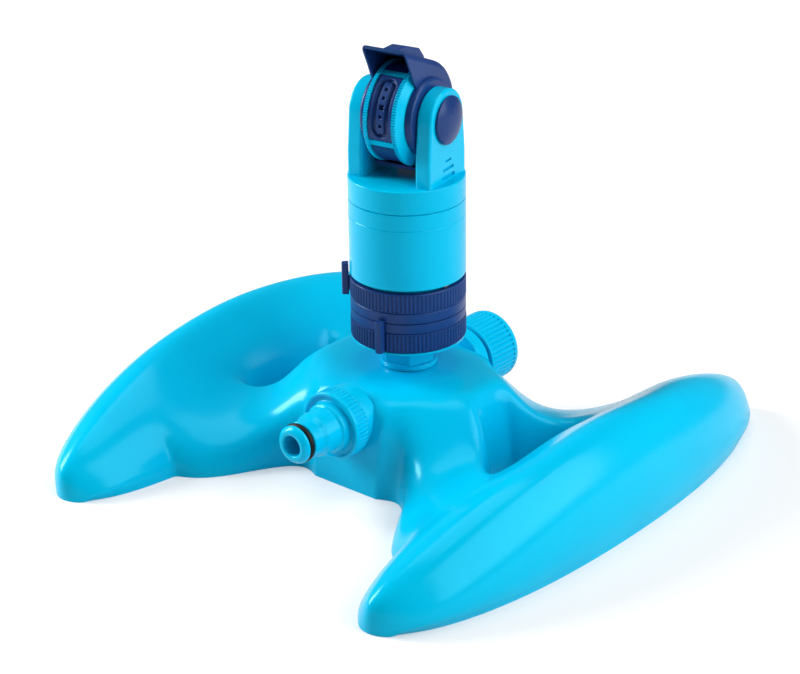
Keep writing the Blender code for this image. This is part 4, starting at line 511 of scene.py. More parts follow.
# Across an arm: the share of the way from a foot to the crest, and the share of the height
ARM_FRONT_SHARES = ((0.0, 0.0), (0.05, 0.27), (0.16, 0.50), (0.48, 0.74), (1.0, 0.93))
ARM_REAR_SHARES = ((0.47, 1.0), (0.23, 0.72), (0.08, 0.35), (0.0, 0.0))
# Along an arm: the shares of the way from root to end in x and in y, at three stations
FRONT_PATH = ((0.25, 0.21), (0.46, 0.54), (0.71, 0.85))
CREST_PATH = ((0.28, 0.02), (0.48, 0.17), (0.75, 0.48))
REAR_PATH = ((0.17, 0.06), (0.42, 0.42), (0.67, 0.80))
ARM_HEIGHTS = (PEDESTAL_TOP_Z * 0.79, ARM_SADDLE_Z * 1.01, ARM_SADDLE_Z * 0.96)


def between(start, end, shares):
    """A point on the way from one place to another, with its own share in x and in y."""
    return start[0] + (end[0] - start[0]) * shares[0], start[1] + (end[1] - start[1]) * shares[1]


def arm_points(face_y):
    """Cage points of one arm, keyed by line across and station, from the pedestal to the runner."""
    root_front = (PEDESTAL_CORNER_X + 0.0100, -face_y + 0.0050)
    root_rear = (PEDESTAL_SIDE_X + 0.0070, -0.0075)
    root_crest = (PEDESTAL_SIDE_X - 0.0070, -face_y * 0.46)
    end_front = (RUNNER_INNER_X + 0.0015, -RUNNER_STATIONS[4] * RUNNER_HALF_LENGTH - 0.002)
    end_rear = (HOLE_OUTER_X, -HOLE_HALF_LENGTH)
    end_crest = (HOLE_OUTER_X + 0.0080, -RUNNER_STATIONS[3] * RUNNER_HALF_LENGTH)
    root = [(root_front, *step) for step in ROOT_FRONT_ROWS]
    root.append((root_crest, *ROOT_CREST_ROW))
    root += [(root_rear, *step) for step in ROOT_REAR_ROWS]
    points = {("arm", line, 0): (foot[0] + dx, foot[1] + dy, PEDESTAL_TOP_Z * rise)
              for line, (foot, dx, dy, rise) in enumerate(root)}
    for station, height in enumerate(ARM_HEIGHTS):
        front = between(root_front, end_front, FRONT_PATH[station])
        crest = between(root_crest, end_crest, CREST_PATH[station])
        rear = between(root_rear, end_rear, REAR_PATH[station])
        lines = [(front, inward, rise) for inward, rise in ARM_FRONT_SHARES]
        lines += [(rear, inward, rise) for inward, rise in ARM_REAR_SHARES]
        for line, (foot, inward, rise) in enumerate(lines):
            x, y = between(foot, crest, (inward, inward))
            points["arm", line, station + 1] = (x, y, height * rise * CAGE_SWELL)
    return points


print("cage points in an arm:", len(arm_points(PEDESTAL_FRONT_Y)))

# %% [markdown]
# ### Pedestal
#
# The pedestal carries the tower. Its top is nearly flat, its front face stands almost upright round the
# pipe's boss, and a short wall goes down into the hole on each side. Its front and rear halves differ
# only in how far the face stands out, so one function draws both.

# %% Pedestal cage
TOP_COLUMNS = (0.0, 0.27, 0.54, 0.80, 1.0)
TOP_DROOP = (1.0, 1.0, 1.0, 0.995, 0.97)
# Rows of the top from the middle to the front, as shares of the face's distance; the last one is the arm's
TOP_ROWS = ((0.0, 0.0, 0.0, 0.0, 0.0), (0.30, 0.285, 0.22, 0.15, 0.10), (0.62, 0.60, 0.47, 0.33))
FACE_COLUMNS = (0.0, 0.55, 1.0)
# Rows of the face: name, how far back it leans, share of the height, and the corner's bulge in x and in y
FACE_ROWS = (
    (("top", 3), 0.0052, 0.965, 2.0, 1.0), (("face", 0), 0.0010, 0.72, 2.0, 1.0),
    (("face", 1), 0.0003, 0.36, 1.0, 0.5), (("face", 2), 0.0, 0.0, 0.0, 0.0))
CORNER_BULGE = 0.0010
# Rows of the wall to the hole: how far out it leans, and the share of the height
WALL_ROWS = ((0.0036, 0.67), (0.0056, 0.34), (0.0067, 0.0))
WALL_COLUMNS_Y = (0.0, -0.0040)


def pedestal_points(face_y):
    """Cage points of a quarter pedestal: top rows, the face below them and the wall to the hole."""
    points = {}
    for row, shares in enumerate(TOP_ROWS):
        for column, share in enumerate(shares):
            x = PEDESTAL_SIDE_X * TOP_COLUMNS[column]
            points["top", row, column] = (x, -face_y * share, PEDESTAL_TOP_Z * TOP_DROOP[column])
    for column, column_share in enumerate(FACE_COLUMNS):
        bulge = CORNER_BULGE if column_share == 1.0 else 0.0
        for (kind, row), lean, rise, bulge_x, bulge_y in FACE_ROWS:
            x = PEDESTAL_CORNER_X * column_share + bulge * bulge_x
            points[kind, row, column] = (x, -face_y + lean + bulge * bulge_y, PEDESTAL_TOP_Z * rise)
    for row, (lean, rise) in enumerate(WALL_ROWS):
        for column, y in enumerate(WALL_COLUMNS_Y):
            points["wall", row, column] = (PEDESTAL_SIDE_X + lean, y, PEDESTAL_TOP_Z * rise)
    return points


print("cage points in a quarter pedestal:", len(pedestal_points(PEDESTAL_FRONT_Y)))

# %% [markdown]
# ### Joining the regions
#
# Runner, arm and pedestal are drawn apart, but their skins must share points along the seams, or the
# smoothing would pull them open. So every point has a key, and a key on a seam is changed into the name
# that the neighbouring region gives the same point.


# %% Joining the cage regions
def shared_key(key):
    """Cage corners where two regions meet have one name."""
    kind, row, column = key
    if kind == "face" and row == -1:
        kind, row = "top", 3
    if kind == "wall" and row == -1:
        kind, row, column = "top", column, 4
    if kind == "face" and column == 3:
        return "arm", 2 - row, 0
    if kind == "wall" and column == 2:
        return "arm", 6 + row, 0
    seams = {("top", 2, 4): ("arm", 5, 0), ("top", 3, 3): ("arm", 3, 0), ("top", 3, 4): ("arm", 4, 0)}
    return seams.get((kind, row, column), (kind, row, column))


def quads(kind, rows, columns, skip=()):
    """Quads of one region, as four keys each."""
    return [[(kind, r, c), (kind, r, c + 1), (kind, r + 1, c + 1), (kind, r + 1, c)]
            for r in rows for c in columns if (r, c) not in skip]


def quarter_faces():
    """Quads of the quarter cage, with the row that ties an arm to the runner's opening."""
    opening = [(r, c) for r in (2, 3) for c in range(SHOULDER_ROW, GROUND_ROW)]
    faces = quads("runner", range(len(RUNNER_STATIONS)), range(GROUND_ROW), opening)
    faces += quads("arm", range(8), range(3)) + quads("top", range(3), range(4))
    faces += quads("face", range(-1, 2), range(3)) + quads("wall", range(-1, 2), range(2))
    front = [("runner", 4, row) for row in range(GROUND_ROW, SHOULDER_ROW - 1, -1)]
    rear = [("runner", 2, row) for row in range(SHOULDER_ROW, GROUND_ROW + 1)]
    junction = front + [("runner", 3, SHOULDER_ROW)] + rear
    return faces + [[("arm", k, 3), ("arm", k + 1, 3), junction[k + 1], junction[k]] for k in range(8)]


print("quads in a quarter of the cage:", len(quarter_faces()))

# %% [markdown]
# ### The right half, with its crisp lines
#
# A smoothed cage is soft everywhere. The real base has two kinds of crisper line: the pedestal's corners,
# and the valleys where an arm meets a runner. Both are creases: a value on an edge that holds the smooth
# surface to it. A valley is tight at the ground and opens towards its top, so its crease fades with
# height. A skirt below the ground edge keeps that edge straight when it is cut level later.

# %% Half cage
SKIRT_DEPTH = 0.004
CORNER_KEYS = (("top", 3, 2), ("face", 0, 2), ("face", 1, 2), ("face", 2, 2))
CORNER_CREASE = 1.0
VALLEY_KEYS = [("runner", 4, row) for row in range(SHOULDER_ROW, GROUND_ROW + 1)]
VALLEY_CREASE = 0.9


def base_cage():
    """Right half of the base as an open cage of quads, with a skirt below the ground."""
    bm = bmesh.new()
    crease = bm.edges.layers.float.new("crease_edge")
    corner = set()
    valley = set()
    for face_y, side in ((PEDESTAL_FRONT_Y, 1.0), (PEDESTAL_REAR_Y, -1.0)):
        points = {**runner_points(), **arm_points(face_y), **pedestal_points(face_y)}
        verts = {}
        for keys in quarter_faces():
            ring = []
            for key in map(shared_key, map(shared_key, keys)):
                if key not in verts:
                    x, y, z = points[key]
                    verts[key] = bm.verts.new((x, y * side, z))
                ring.append(verts[key])
            bm.faces.new(ring)
        corner |= {verts[key] for key in CORNER_KEYS}
        valley |= {verts[key] for key in VALLEY_KEYS}
    bmesh.ops.remove_doubles(bm, verts=bm.verts, dist=MERGE_DISTANCE)
    ground = [e for e in bm.edges if e.is_boundary and max(v.co.z for v in e.verts) < MERGE_DISTANCE]
    skirt = bmesh.ops.extrude_edge_only(bm, edges=ground)["geom"]
    lowest = [item for item in skirt if isinstance(item, bmesh.types.BMVert)]
    for vert in lowest:
        vert.co.z = -SKIRT_DEPTH
    for edge in bm.edges:
        below, above = sorted(edge.verts, key=lambda vert: vert.co.z)
        if above in corner and (below in corner or below in lowest):
            edge[crease] = CORNER_CREASE
        if above in valley and (below in valley or below in lowest):
            edge[crease] = VALLEY_CREASE * (1.0 - above.co.z / RUNNER_HEIGHT)
    bmesh.ops.recalc_face_normals(bm, faces=bm.faces)
    if sum(face.normal.z * face.calc_area() for face in bm.faces) < 0.0:
        bmesh.ops.reverse_faces(bm, faces=bm.faces)
    return bm


half_cage = base_cage()
print("quads in half the cage:", len(half_cage.faces))

# %% [markdown]
# ### The skin and its wall
#
# Mirror makes the left half, Subdivision Surface the smooth form. The skin is then cut level at the
# ground, and Solidify turns it inwards into a wall, which leaves it open below, as such mouldings are. The
# smooth surface may pass the frame's box by a few hundredths of a millimetre, so it is held to the box.


# %% Base skin
def base_skin(cage):
    """Mirror, smooth and cut the cage level, give the skin its wall, and hold it to the frame's box."""
    shell = object_from("base_skin", cage)
    mirror = shell.modifiers.new("left_half", "MIRROR")
    mirror.use_clip = True
    mirror.merge_threshold = MERGE_DISTANCE * 2
    smoothing = shell.modifiers.new("soft_form", "SUBSURF")
    smoothing.levels = 3
    smoothing.render_levels = 3
    level = bmesh.new()
    level.from_mesh(baked(shell))
    everything = level.verts[:] + level.edges[:] + level.faces[:]
    bmesh.ops.bisect_plane(level, geom=everything, plane_co=(0, 0, 0), plane_no=(0, 0, 1), clear_inner=True)
    shell = object_from("base_skin", level)
    wall = shell.modifiers.new("wall", "SOLIDIFY")
    wall.thickness = WALL
    wall.offset = -1.0
    wall.use_even_offset = False
    mesh = baked(shell)
    for vert in mesh.vertices:
        vert.co.y = min(max(vert.co.y, cad_box[0][1]), cad_box[1][1])
        vert.co.z = max(vert.co.z, 0.0)
    return raw_object("base_skin", mesh)


skin = base_skin(half_cage)
print("faces in the finished skin:", len(skin.data.polygons))

# %% [markdown]
# ## The water pipe in the base
#
# A pipe runs through the pedestal and comes out at both ends as a threaded spigot, with a round boss
# where it leaves the pedestal. The fitting and the cap hide the spigots until they are unscrewed, so the
# thread is drawn as plain ridges, one to a pitch, and not as a real spiral.

# %% Pipe sizes
PIPE_Z = 0.0325
PIPE_RADIUS = 0.0090
PIPE_BORE = 0.0050
SPIGOT_RADIUS = 0.0132
SPIGOT_BORE = 0.0100
BOSS_RADIUS = 0.0145
BOSS_DEPTH = 0.0065
BOSS_FRONT_Y = PEDESTAL_FRONT_Y + 0.0002
BOSS_REAR_Y = PEDESTAL_REAR_Y + 0.0015
INLET_SPIGOT_END = 0.0480
OUTLET_SPIGOT_END = 0.0537
SPIGOT_ROOT = 0.0015
THREAD_PITCH = 0.001814
THREAD_DEPTH = 0.0007
THREAD_CREST_RADIUS = SPIGOT_RADIUS - 0.0001
THREAD_ROOT_RADIUS = THREAD_CREST_RADIUS - THREAD_DEPTH
AT_PIPE = Matrix.Translation((0.0, 0.0, PIPE_Z))
TO_INLET = AT_PIPE @ Matrix.Rotation(math.radians(90.0), 4, "X")
TO_OUTLET = AT_PIPE @ Matrix.Rotation(math.radians(-90.0), 4, "X")
print("spigots: %g mm over the thread, %g mm bore" % (mm(THREAD_CREST_RADIUS * 2), mm(SPIGOT_BORE * 2)))

# %% [markdown]
# ### Spigots, bosses and the finished base
#
# Each is a turned outline that starts inside its neighbour, so that no gap shows at a joint. Together with
# the skin they settle into one piece, as the real base is one moulding.


# %% Pipe, bosses and spigots
def spigot(name, low, high, place):
    """A spigot with thread ridges outside and the bore inside."""
    outline = [(PIPE_BORE, low), (SPIGOT_BORE, low + SPIGOT_ROOT), (SPIGOT_BORE, high),
               (THREAD_ROOT_RADIUS, high)]
    for turn in range(int((high - low - SPIGOT_ROOT) / THREAD_PITCH)):
        top = high - 0.0004 - turn * THREAD_PITCH
        outline += [(THREAD_ROOT_RADIUS, top), (THREAD_CREST_RADIUS, top - THREAD_PITCH * 0.35),
                    (THREAD_CREST_RADIUS, top - THREAD_PITCH * 0.55),
                    (THREAD_ROOT_RADIUS, top - THREAD_PITCH * 0.9)]
    outline += [(THREAD_ROOT_RADIUS, low), (PIPE_BORE, low - 0.0005)]
    return turned(name, outline, place, FINE_STEPS)


def boss(name, face_y, place):
    """The round boss where the pipe leaves the pedestal; it starts inside the pipe's wall."""
    inner = PIPE_RADIUS - 0.0010
    outline = [(inner, face_y), (inner, face_y - BOSS_DEPTH), (BOSS_RADIUS, face_y - BOSS_DEPTH),
               (BOSS_RADIUS, face_y)]
    return turned(name, outline, place, edge=0.0006)


pipe_front = BOSS_FRONT_Y - 0.001
pipe_rear = 0.001 - BOSS_REAR_Y
pipe_outline = [(PIPE_BORE, pipe_front), (PIPE_RADIUS, pipe_front),
                (PIPE_RADIUS, pipe_rear), (PIPE_BORE, pipe_rear)]
base_parts = [
    skin,
    boss("front_boss", BOSS_FRONT_Y, TO_INLET),
    boss("rear_boss", BOSS_REAR_Y, TO_OUTLET),
    turned("pipe_wall", pipe_outline, TO_INLET, FINE_STEPS),
    spigot("inlet_spigot", BOSS_FRONT_Y - SPIGOT_ROOT, INLET_SPIGOT_END, TO_INLET),
    spigot("outlet_spigot", BOSS_REAR_Y - SPIGOT_ROOT, OUTLET_SPIGOT_END, TO_OUTLET)]
settle("base_body", base_parts, "base", ["base_shell"], *CYAN, 42.0)

# %% [markdown]
# ## Ribs by a rule
#
# The nut, the cap, the two collars and the drum's rims all carry ribs for the fingers. Cutting them one
# by one would be slow and hard to change. On all five the ribs are a simple rule of the angle round the
# axis: a wall point stays where it is on a rib and moves inwards in a groove. One Geometry Nodes tree
# holds that rule, with the count, the depth and the shape of a rib as named inputs. It ends in Realize
# Instances and Set Material, because the export keeps no instances.


# %% Node tree for ribs
# The rule in steps: each one's result, its operation, and what goes in
RIB_RULE = (
    ("angle", "ARCTAN2", "y", "x"),
    ("turn", "MULTIPLY", "angle", 1.0 / math.tau),
    ("turn from zero", "ADD", "turn", 1.0),
    ("rib number", "MULTIPLY", "turn from zero", "Count"),
    ("phase", "FRACT", "rib number"),
    ("off the middle", "SUBTRACT", "phase", 0.5),
    ("either way", "ABSOLUTE", "off the middle"),
    ("from the middle", "MULTIPLY", "either way", 2.0),
    ("groove floor", "ADD", "Rib Share", "Slope Share"),
    ("sink", "MULTIPLY", "sunk share", "Depth"),
    ("inward", "MULTIPLY", "sink", -1.0),
    ("height", "ABSOLUTE", "z"),
    ("on the wall", "GREATER_THAN", "radius", "Wall Radius"),
    ("above the lowest", "GREATER_THAN", "height", "Lowest"),
    ("below the highest", "LESS_THAN", "height", "Highest"),
    ("in the band", "MULTIPLY", "above the lowest", "below the highest"),
    ("to be moved", "MULTIPLY", "on the wall", "in the band"),
)


def rib_tree():
    """Points of the outer wall move inwards in the grooves between the ribs."""
    tree = bpy.data.node_groups.new("ribs_round_an_axis", "GeometryNodeTree")
    tree.interface.new_socket("Geometry", in_out="INPUT", socket_type="NodeSocketGeometry")
    for size in ("Count", "Depth", "Rib Share", "Slope Share", "Lowest", "Highest", "Wall Radius"):
        tree.interface.new_socket(size, in_out="INPUT", socket_type="NodeSocketFloat")
    tree.interface.new_socket("Finish", in_out="INPUT", socket_type="NodeSocketMaterial")
    tree.interface.new_socket("Geometry", in_out="OUTPUT", socket_type="NodeSocketGeometry")
    given = add_node(tree, "NodeGroupInput").outputs
    place = add_node(tree, "GeometryNodeInputPosition").outputs[0]
    x, y, z = add_node(tree, "ShaderNodeSeparateXYZ", {0: place}).outputs
    flat = add_node(tree, "ShaderNodeCombineXYZ", {0: x, 1: y}).outputs[0]
    radius = add_node(tree, "ShaderNodeVectorMath", {0: flat}, operation="LENGTH").outputs["Value"]
    outward = add_node(tree, "ShaderNodeVectorMath", {0: flat}, operation="NORMALIZE").outputs[0]
    slope = add_node(tree, "ShaderNodeMapRange", {"From Min": given["Rib Share"]},
                     interpolation_type="SMOOTHSTEP")
    known = {"x": x, "y": y, "z": z, "radius": radius, "sunk share": slope.outputs["Result"]}
    known.update({socket.name: socket for socket in given})
    for result, operation, *values in RIB_RULE:
        inputs = {index: known.get(value, value) for index, value in enumerate(values)}
        known[result] = add_node(tree, "ShaderNodeMath", inputs, operation=operation).outputs[0]
    tree.links.new(known["from the middle"], slope.inputs["Value"])
    tree.links.new(known["groove floor"], slope.inputs["From Max"])
    shift = add_node(tree, "ShaderNodeVectorMath", {0: outward, "Scale": known["inward"]}, operation="SCALE")
    moved = add_node(tree, "GeometryNodeSetPosition", {
        "Geometry": given["Geometry"], "Selection": known["to be moved"], "Offset": shift.outputs[0]})
    real = add_node(tree, "GeometryNodeRealizeInstances", {"Geometry": moved.outputs[0]})
    coated = add_node(tree, "GeometryNodeSetMaterial", {
        "Geometry": real.outputs[0], "Material": given["Finish"]})
    add_node(tree, "NodeGroupOutput", {"Geometry": coated.outputs[0]})
    return tree


ribs = rib_tree()
print("rib tree:", len(ribs.nodes), "nodes")

# %% [markdown]
# ## Rounded outlines and ribbed pieces
#
# A moulded piece has no knife edge. A turned piece gets its round edges in the outline itself: every
# corner of the outline is replaced by a short curve before it is turned. That costs fewer faces than a
# Bevel on the finished mesh and keeps the rows straight for the ribs. A ribbed piece is turned with a
# whole number of steps to a rib, so that every rib comes out the same.

# %% Rounded outlines and ribbed pieces
# Two rows this far apart hold the end of a rib; the tree's limits lie half as far away
ROW_GAP = 0.0001
HALF_GAP = ROW_GAP / 2


def rounded(outline, radius, segments=3, closed=True):
    """Replace every real corner of an outline by a short curve."""
    points = [Vector(point) for point in outline]
    last = len(points) - 1
    result = []
    for index, corner in enumerate(points):
        if not closed and index in (0, last):
            result.append(tuple(corner))
            continue
        before = points[index - 1] - corner
        after = points[(index + 1) % len(points)] - corner
        bend = before.angle(after, math.pi)
        reach = min(radius, before.length * 0.45, after.length * 0.45)
        if bend > math.radians(172.0) or reach < 0.00002:
            result.append(tuple(corner))
            continue
        start = corner + before.normalized() * reach
        end = corner + after.normalized() * reach
        for step in range(segments + 1):
            share = step / segments
            point = start * (1 - share) ** 2 + corner * 2 * share * (1 - share) + end * share ** 2
            result.append(tuple(point))
    return result


def use_tree(obj, tree, **inputs):
    """Put a node tree on an object, its inputs set by the sockets' identifiers."""
    modifier = obj.modifiers.new(tree.name, "NODES")
    modifier.node_group = tree
    names = {item.name: item.identifier for item in tree.interface.items_tree if item.in_out == "INPUT"}
    for name, value in inputs.items():
        modifier[names[name.replace("_", " ")]] = value
    return obj


def ribbed(name, outline, place, count, steps_per_rib, depth, rib, slope, low, high, wall_radius, finish):
    """A turned piece with ribs on its outer wall between two heights."""
    obj = turned(name, outline, place, count * steps_per_rib)
    return use_tree(obj, ribs, Count=float(count), Depth=depth, Rib_Share=rib, Slope_Share=slope,
                    Lowest=low, Highest=high, Wall_Radius=wall_radius, Finish=finish)


def at_radius(radius, *heights):
    """Outline points at one radius and several heights."""
    return [(radius, height) for height in heights]


print("a square with rounded corners has %d points" % len(rounded([(0, 0), (1, 0), (1, 1), (0, 1)], 0.1)))

# %% [markdown]
# ## Hose connector
#
# The connector is one moulding: a ribbed nut that screws on the inlet spigot, a stepped barrel, and the
# nipple that a hose coupling snaps over, with an O-ring in its groove. The ribs stop short of the nut's
# front, where a smooth rim runs round a shallow dish. The whole of it is one outline, turned.

# %% Connector sizes
FIT = 0.0003
NUT_RADIUS = 0.0152
NUT_FRONT_Y = -0.0522
NUT_RIM = 0.0016
NUT_DISH_DEPTH = 0.0010
NUT_WEB = 0.0014
NUT_RIBS = 48
NUT_BACK = BOSS_FRONT_Y + FIT
NUT_RIB_START = NUT_BACK + 0.0011
NUT_RIB_END = -NUT_FRONT_Y - 0.0017
BARREL_RADIUS = 0.0112
BARREL_END_RADIUS = 0.0096
SHOULDER_END_Y = 0.0650
RING_END_Y = 0.0556
LAND_RADIUS = 0.0085
GROOVE_RADIUS = 0.0061
O_RING_SECTION = 0.0012
O_RING_Y = -0.0716
NOSE_RADIUS = 0.0084
NOSE_Y = -0.0762
INLET_BORE_RADIUS = 0.0046
THREAD_RADIUS = SPIGOT_RADIUS + FIT
print("nipple: %g mm over its nose, nut: %g mm" % (mm(NOSE_RADIUS * 2), mm(NUT_RADIUS * 2)))

# %% Connector
front = -NUT_FRONT_Y
dish = front - NUT_DISH_DEPTH
web_back = dish - NUT_WEB
nose = -NOSE_Y
groove_low = -O_RING_Y - O_RING_SECTION - FIT
groove_high = -O_RING_Y + O_RING_SECTION + FIT
connector_outline = [
    (INLET_BORE_RADIUS, nose), (NOSE_RADIUS - 0.0016, nose),
    *at_radius(NOSE_RADIUS, nose - 0.0018, groove_high),
    *at_radius(GROOVE_RADIUS, groove_high, groove_low),
    *at_radius(LAND_RADIUS, groove_low, SHOULDER_END_Y),
    (BARREL_END_RADIUS, SHOULDER_END_Y - 0.0022), (BARREL_END_RADIUS + 0.0002, RING_END_Y),
    (BARREL_RADIUS - 0.0003, RING_END_Y - 0.0008), (BARREL_RADIUS, dish),
    *at_radius(NUT_RADIUS - NUT_RIM, dish, front),
    *at_radius(NUT_RADIUS, front, NUT_RIB_END + ROW_GAP, NUT_RIB_END),
    *at_radius(NUT_RADIUS, NUT_RIB_START + ROW_GAP, NUT_RIB_START, NUT_BACK),
    *at_radius(THREAD_RADIUS, NUT_BACK, web_back), (INLET_BORE_RADIUS, web_back)]
connector = ribbed("hose_connector", rounded(connector_outline, 0.0007), TO_INLET, NUT_RIBS, steps_per_rib=8,
                   depth=0.00055, rib=0.42, slope=0.34, low=NUT_RIB_START - HALF_GAP,
                   high=NUT_RIB_END + HALF_GAP, wall_radius=NUT_RADIUS - 0.0001, finish=cyan_abs)
settle("hose_connector", [connector], "inlet_nut", ["inlet_connector"], *CYAN, 50.0)

# %% [markdown]
# ## O-ring
#
# The O-ring is a round cord bent into a ring. It could be a Torus, but turning a circle of sixteen points
# like every other round piece keeps its place in the groove tied to the groove's own sizes.

# %% O-ring
ring_middle = GROOVE_RADIUS + FIT / 2 + O_RING_SECTION
ring_spots = [polar(O_RING_SECTION, 22.5 * k) for k in range(16)]
ring_outline = [(ring_middle + out, -O_RING_Y - up) for out, up in ring_spots]
ring = turned("nipple_o_ring", ring_outline, TO_INLET, FINE_STEPS)
settle("nipple_o_ring", [ring], "inlet_nut", ["inlet_o_ring"], "black_rubber", nitrile, 60.0)

# %% [markdown]
# ## End cap
#
# The cap closes the pipe's other end. Its ribs are wide and round with narrow grooves between them, and
# they stop at a smooth rim by the closed end.

# %% End cap
CAP_RADIUS = 0.0159
CAP_NEAR_Y = 0.0390
CAP_FAR_Y = 0.0577
CAP_END_WALL = 0.0022
CAP_DISH = 0.0004
CAP_RIBS = 43
CAP_RIB_LOW = CAP_NEAR_Y + 0.0009
CAP_RIB_HIGH = CAP_FAR_Y - 0.0026
cap_outline = [
    (0.0, CAP_FAR_Y - CAP_DISH), (CAP_RADIUS - 0.0030, CAP_FAR_Y - CAP_DISH),
    (CAP_RADIUS - 0.0024, CAP_FAR_Y), (CAP_RADIUS - 0.0003, CAP_FAR_Y),
    *at_radius(CAP_RADIUS, CAP_FAR_Y - 0.0011, CAP_RIB_HIGH + ROW_GAP, CAP_RIB_HIGH),
    *at_radius(CAP_RADIUS, CAP_RIB_LOW + ROW_GAP, CAP_RIB_LOW, CAP_NEAR_Y),
    *at_radius(THREAD_RADIUS, CAP_NEAR_Y, CAP_FAR_Y - CAP_END_WALL), (0.0, CAP_FAR_Y - CAP_END_WALL)]
cap = ribbed("end_cap", rounded(cap_outline, 0.0005, closed=False), TO_OUTLET, CAP_RIBS, steps_per_rib=10,
             depth=0.0008, rib=0.30, slope=0.66, low=CAP_RIB_LOW + HALF_GAP, high=CAP_RIB_HIGH + HALF_GAP,
             wall_radius=CAP_RADIUS - 0.0001, finish=cyan_abs)
settle("end_cap", [cap], "outlet_screw_cap", ["outlet_cap"], *CYAN, 50.0)

# %% [markdown]
# ## Riser with its hexagon
#
# The riser screws into the pedestal. Only a round flange and a hexagon for the spanner show. The stem and
# the flange are one turned outline, the hexagon is a prism whose edges a Bevel breaks, and a bore through
# it keeps the water's way open.

# %% Riser
STEM_RADIUS = 0.0075
STEM_BORE_RADIUS = 0.0052
STEM_TOP_Z = 0.0962
FLANGE_RADIUS = 0.0125
FLANGE_TOP_Z = 0.0470
FLANGE_BOTTOM_Z = PEDESTAL_TOP_Z + FIT
STUB_RADIUS = 0.0097
STUB_BOTTOM_Z = FLANGE_BOTTOM_Z - 0.0040
HEX_ACROSS_CORNERS = 0.0236
HEX_TOP_Z = 0.0574
HEX_CORNER_DEG = -49.0
CORE_RADIUS = 0.0095
stem_outline = [
    (STEM_BORE_RADIUS, STEM_TOP_Z), *at_radius(STEM_RADIUS, STEM_TOP_Z, HEX_TOP_Z - 0.001),
    *at_radius(CORE_RADIUS, HEX_TOP_Z - 0.001, FLANGE_TOP_Z),
    *at_radius(FLANGE_RADIUS, FLANGE_TOP_Z, FLANGE_BOTTOM_Z),
    *at_radius(STUB_RADIUS, FLANGE_BOTTOM_Z, STUB_BOTTOM_Z), (STEM_BORE_RADIUS, STUB_BOTTOM_Z)]
stem = turned("riser_stem", rounded(stem_outline, 0.0005), None, FINE_STEPS)
corners = [polar(HEX_ACROSS_CORNERS / 2, HEX_CORNER_DEG + 60.0 * k) for k in range(6)]
hexagon = prism("riser_hexagon", corners, FLANGE_TOP_Z - 0.0005, HEX_TOP_Z, edge=0.0007, segments=4)
core = cylinder("hexagon_core", STEM_RADIUS - 0.001, FLANGE_TOP_Z - 0.001, HEX_TOP_Z + 0.001, None, 48)
settle("riser_hexagon", [stem, cut_all(hexagon, [core])], "base", ["riser"], *CYAN, 40.0)

# %% [markdown]
# ## Arc collars: sizes
#
# Two navy collars turn on the tower's foot, and a tab on each shows how far the head will swing. The
# upper collar is ribbed at its top and the lower one at its foot; between them is a smooth band with the
# joint line in its middle. The ribs are 1.8 mm apart, 88 to a turn. Everything that nests is worked out
# from the outside inwards: collar, sleeve, seat.

# %% Collar sizes
TOWER_RADIUS = 0.0250
COLLAR_BOTTOM_Z = 0.0590
COLLAR_SPLIT_Z = 0.0723
COLLAR_TOP_Z = 0.0858
COLLAR_SKIN = 0.0027
SLEEVE_WALL = 0.0013
HUB_WALL = 0.0022
STOP_HEIGHT = 0.0026
COLLAR_RIBS = 88
UPPER_BAND_Z = 0.0774
LOWER_BAND_Z = 0.0676
BAND_STEP = 0.0005
BAND_RADIUS = TOWER_RADIUS - 0.0001
STEP_RADIUS = TOWER_RADIUS - 0.0006
HOUSING_BOTTOM_Z = 0.0875
UPPER_BORE_RADIUS = TOWER_RADIUS - COLLAR_SKIN
SLEEVE_OUTER_RADIUS = UPPER_BORE_RADIUS - FIT
SLEEVE_INNER_RADIUS = SLEEVE_OUTER_RADIUS - SLEEVE_WALL
HUB_RADIUS = SLEEVE_INNER_RADIUS - FIT
HUB_TOP_Z = HOUSING_BOTTOM_Z - 0.0021
HUB_BOTTOM_Z = HEX_TOP_Z + FIT
HUB_FLANGE_TOP_Z = COLLAR_BOTTOM_Z - FIT
SLEEVE_TOP_Z = COLLAR_TOP_Z - FIT - STOP_HEIGHT - FIT * 2
STEM_BORE = STEM_RADIUS + FIT
# Both collars share this kind of rib
COLLAR_RIB = {"count": COLLAR_RIBS, "steps_per_rib": 8, "depth": 0.00045, "rib": 0.36, "slope": 0.34,
              "wall_radius": TOWER_RADIUS - 0.00005, "finish": navy_abs}
print("ribs on a collar: %g mm apart" % mm(math.tau * TOWER_RADIUS / COLLAR_RIBS))

# %% [markdown]
# ## Arc collars: tabs
#
# A tab is a small block for the thumb, a little narrower at its outer face. It is an outline seen from
# above, rounded and given a height, and it has a root that goes into the collar behind it.

# %% Collar tabs
TAB_HEIGHT = 0.0144
TAB_WIDTH = 0.0038
TAB_REACH = 0.0034
TAB_ROOT_HALF = 0.0011
LOWER_TAB_DEG = -77.0
UPPER_TAB_DEG = -139.4
LOWER_TAB_BASE_Z = 0.0592
UPPER_TAB_BASE_Z = 0.0768


def round_z(degrees):
    """A turn about the vertical, or about whatever axis the place before it makes upright."""
    return Matrix.Rotation(math.radians(degrees), 4, "Z")


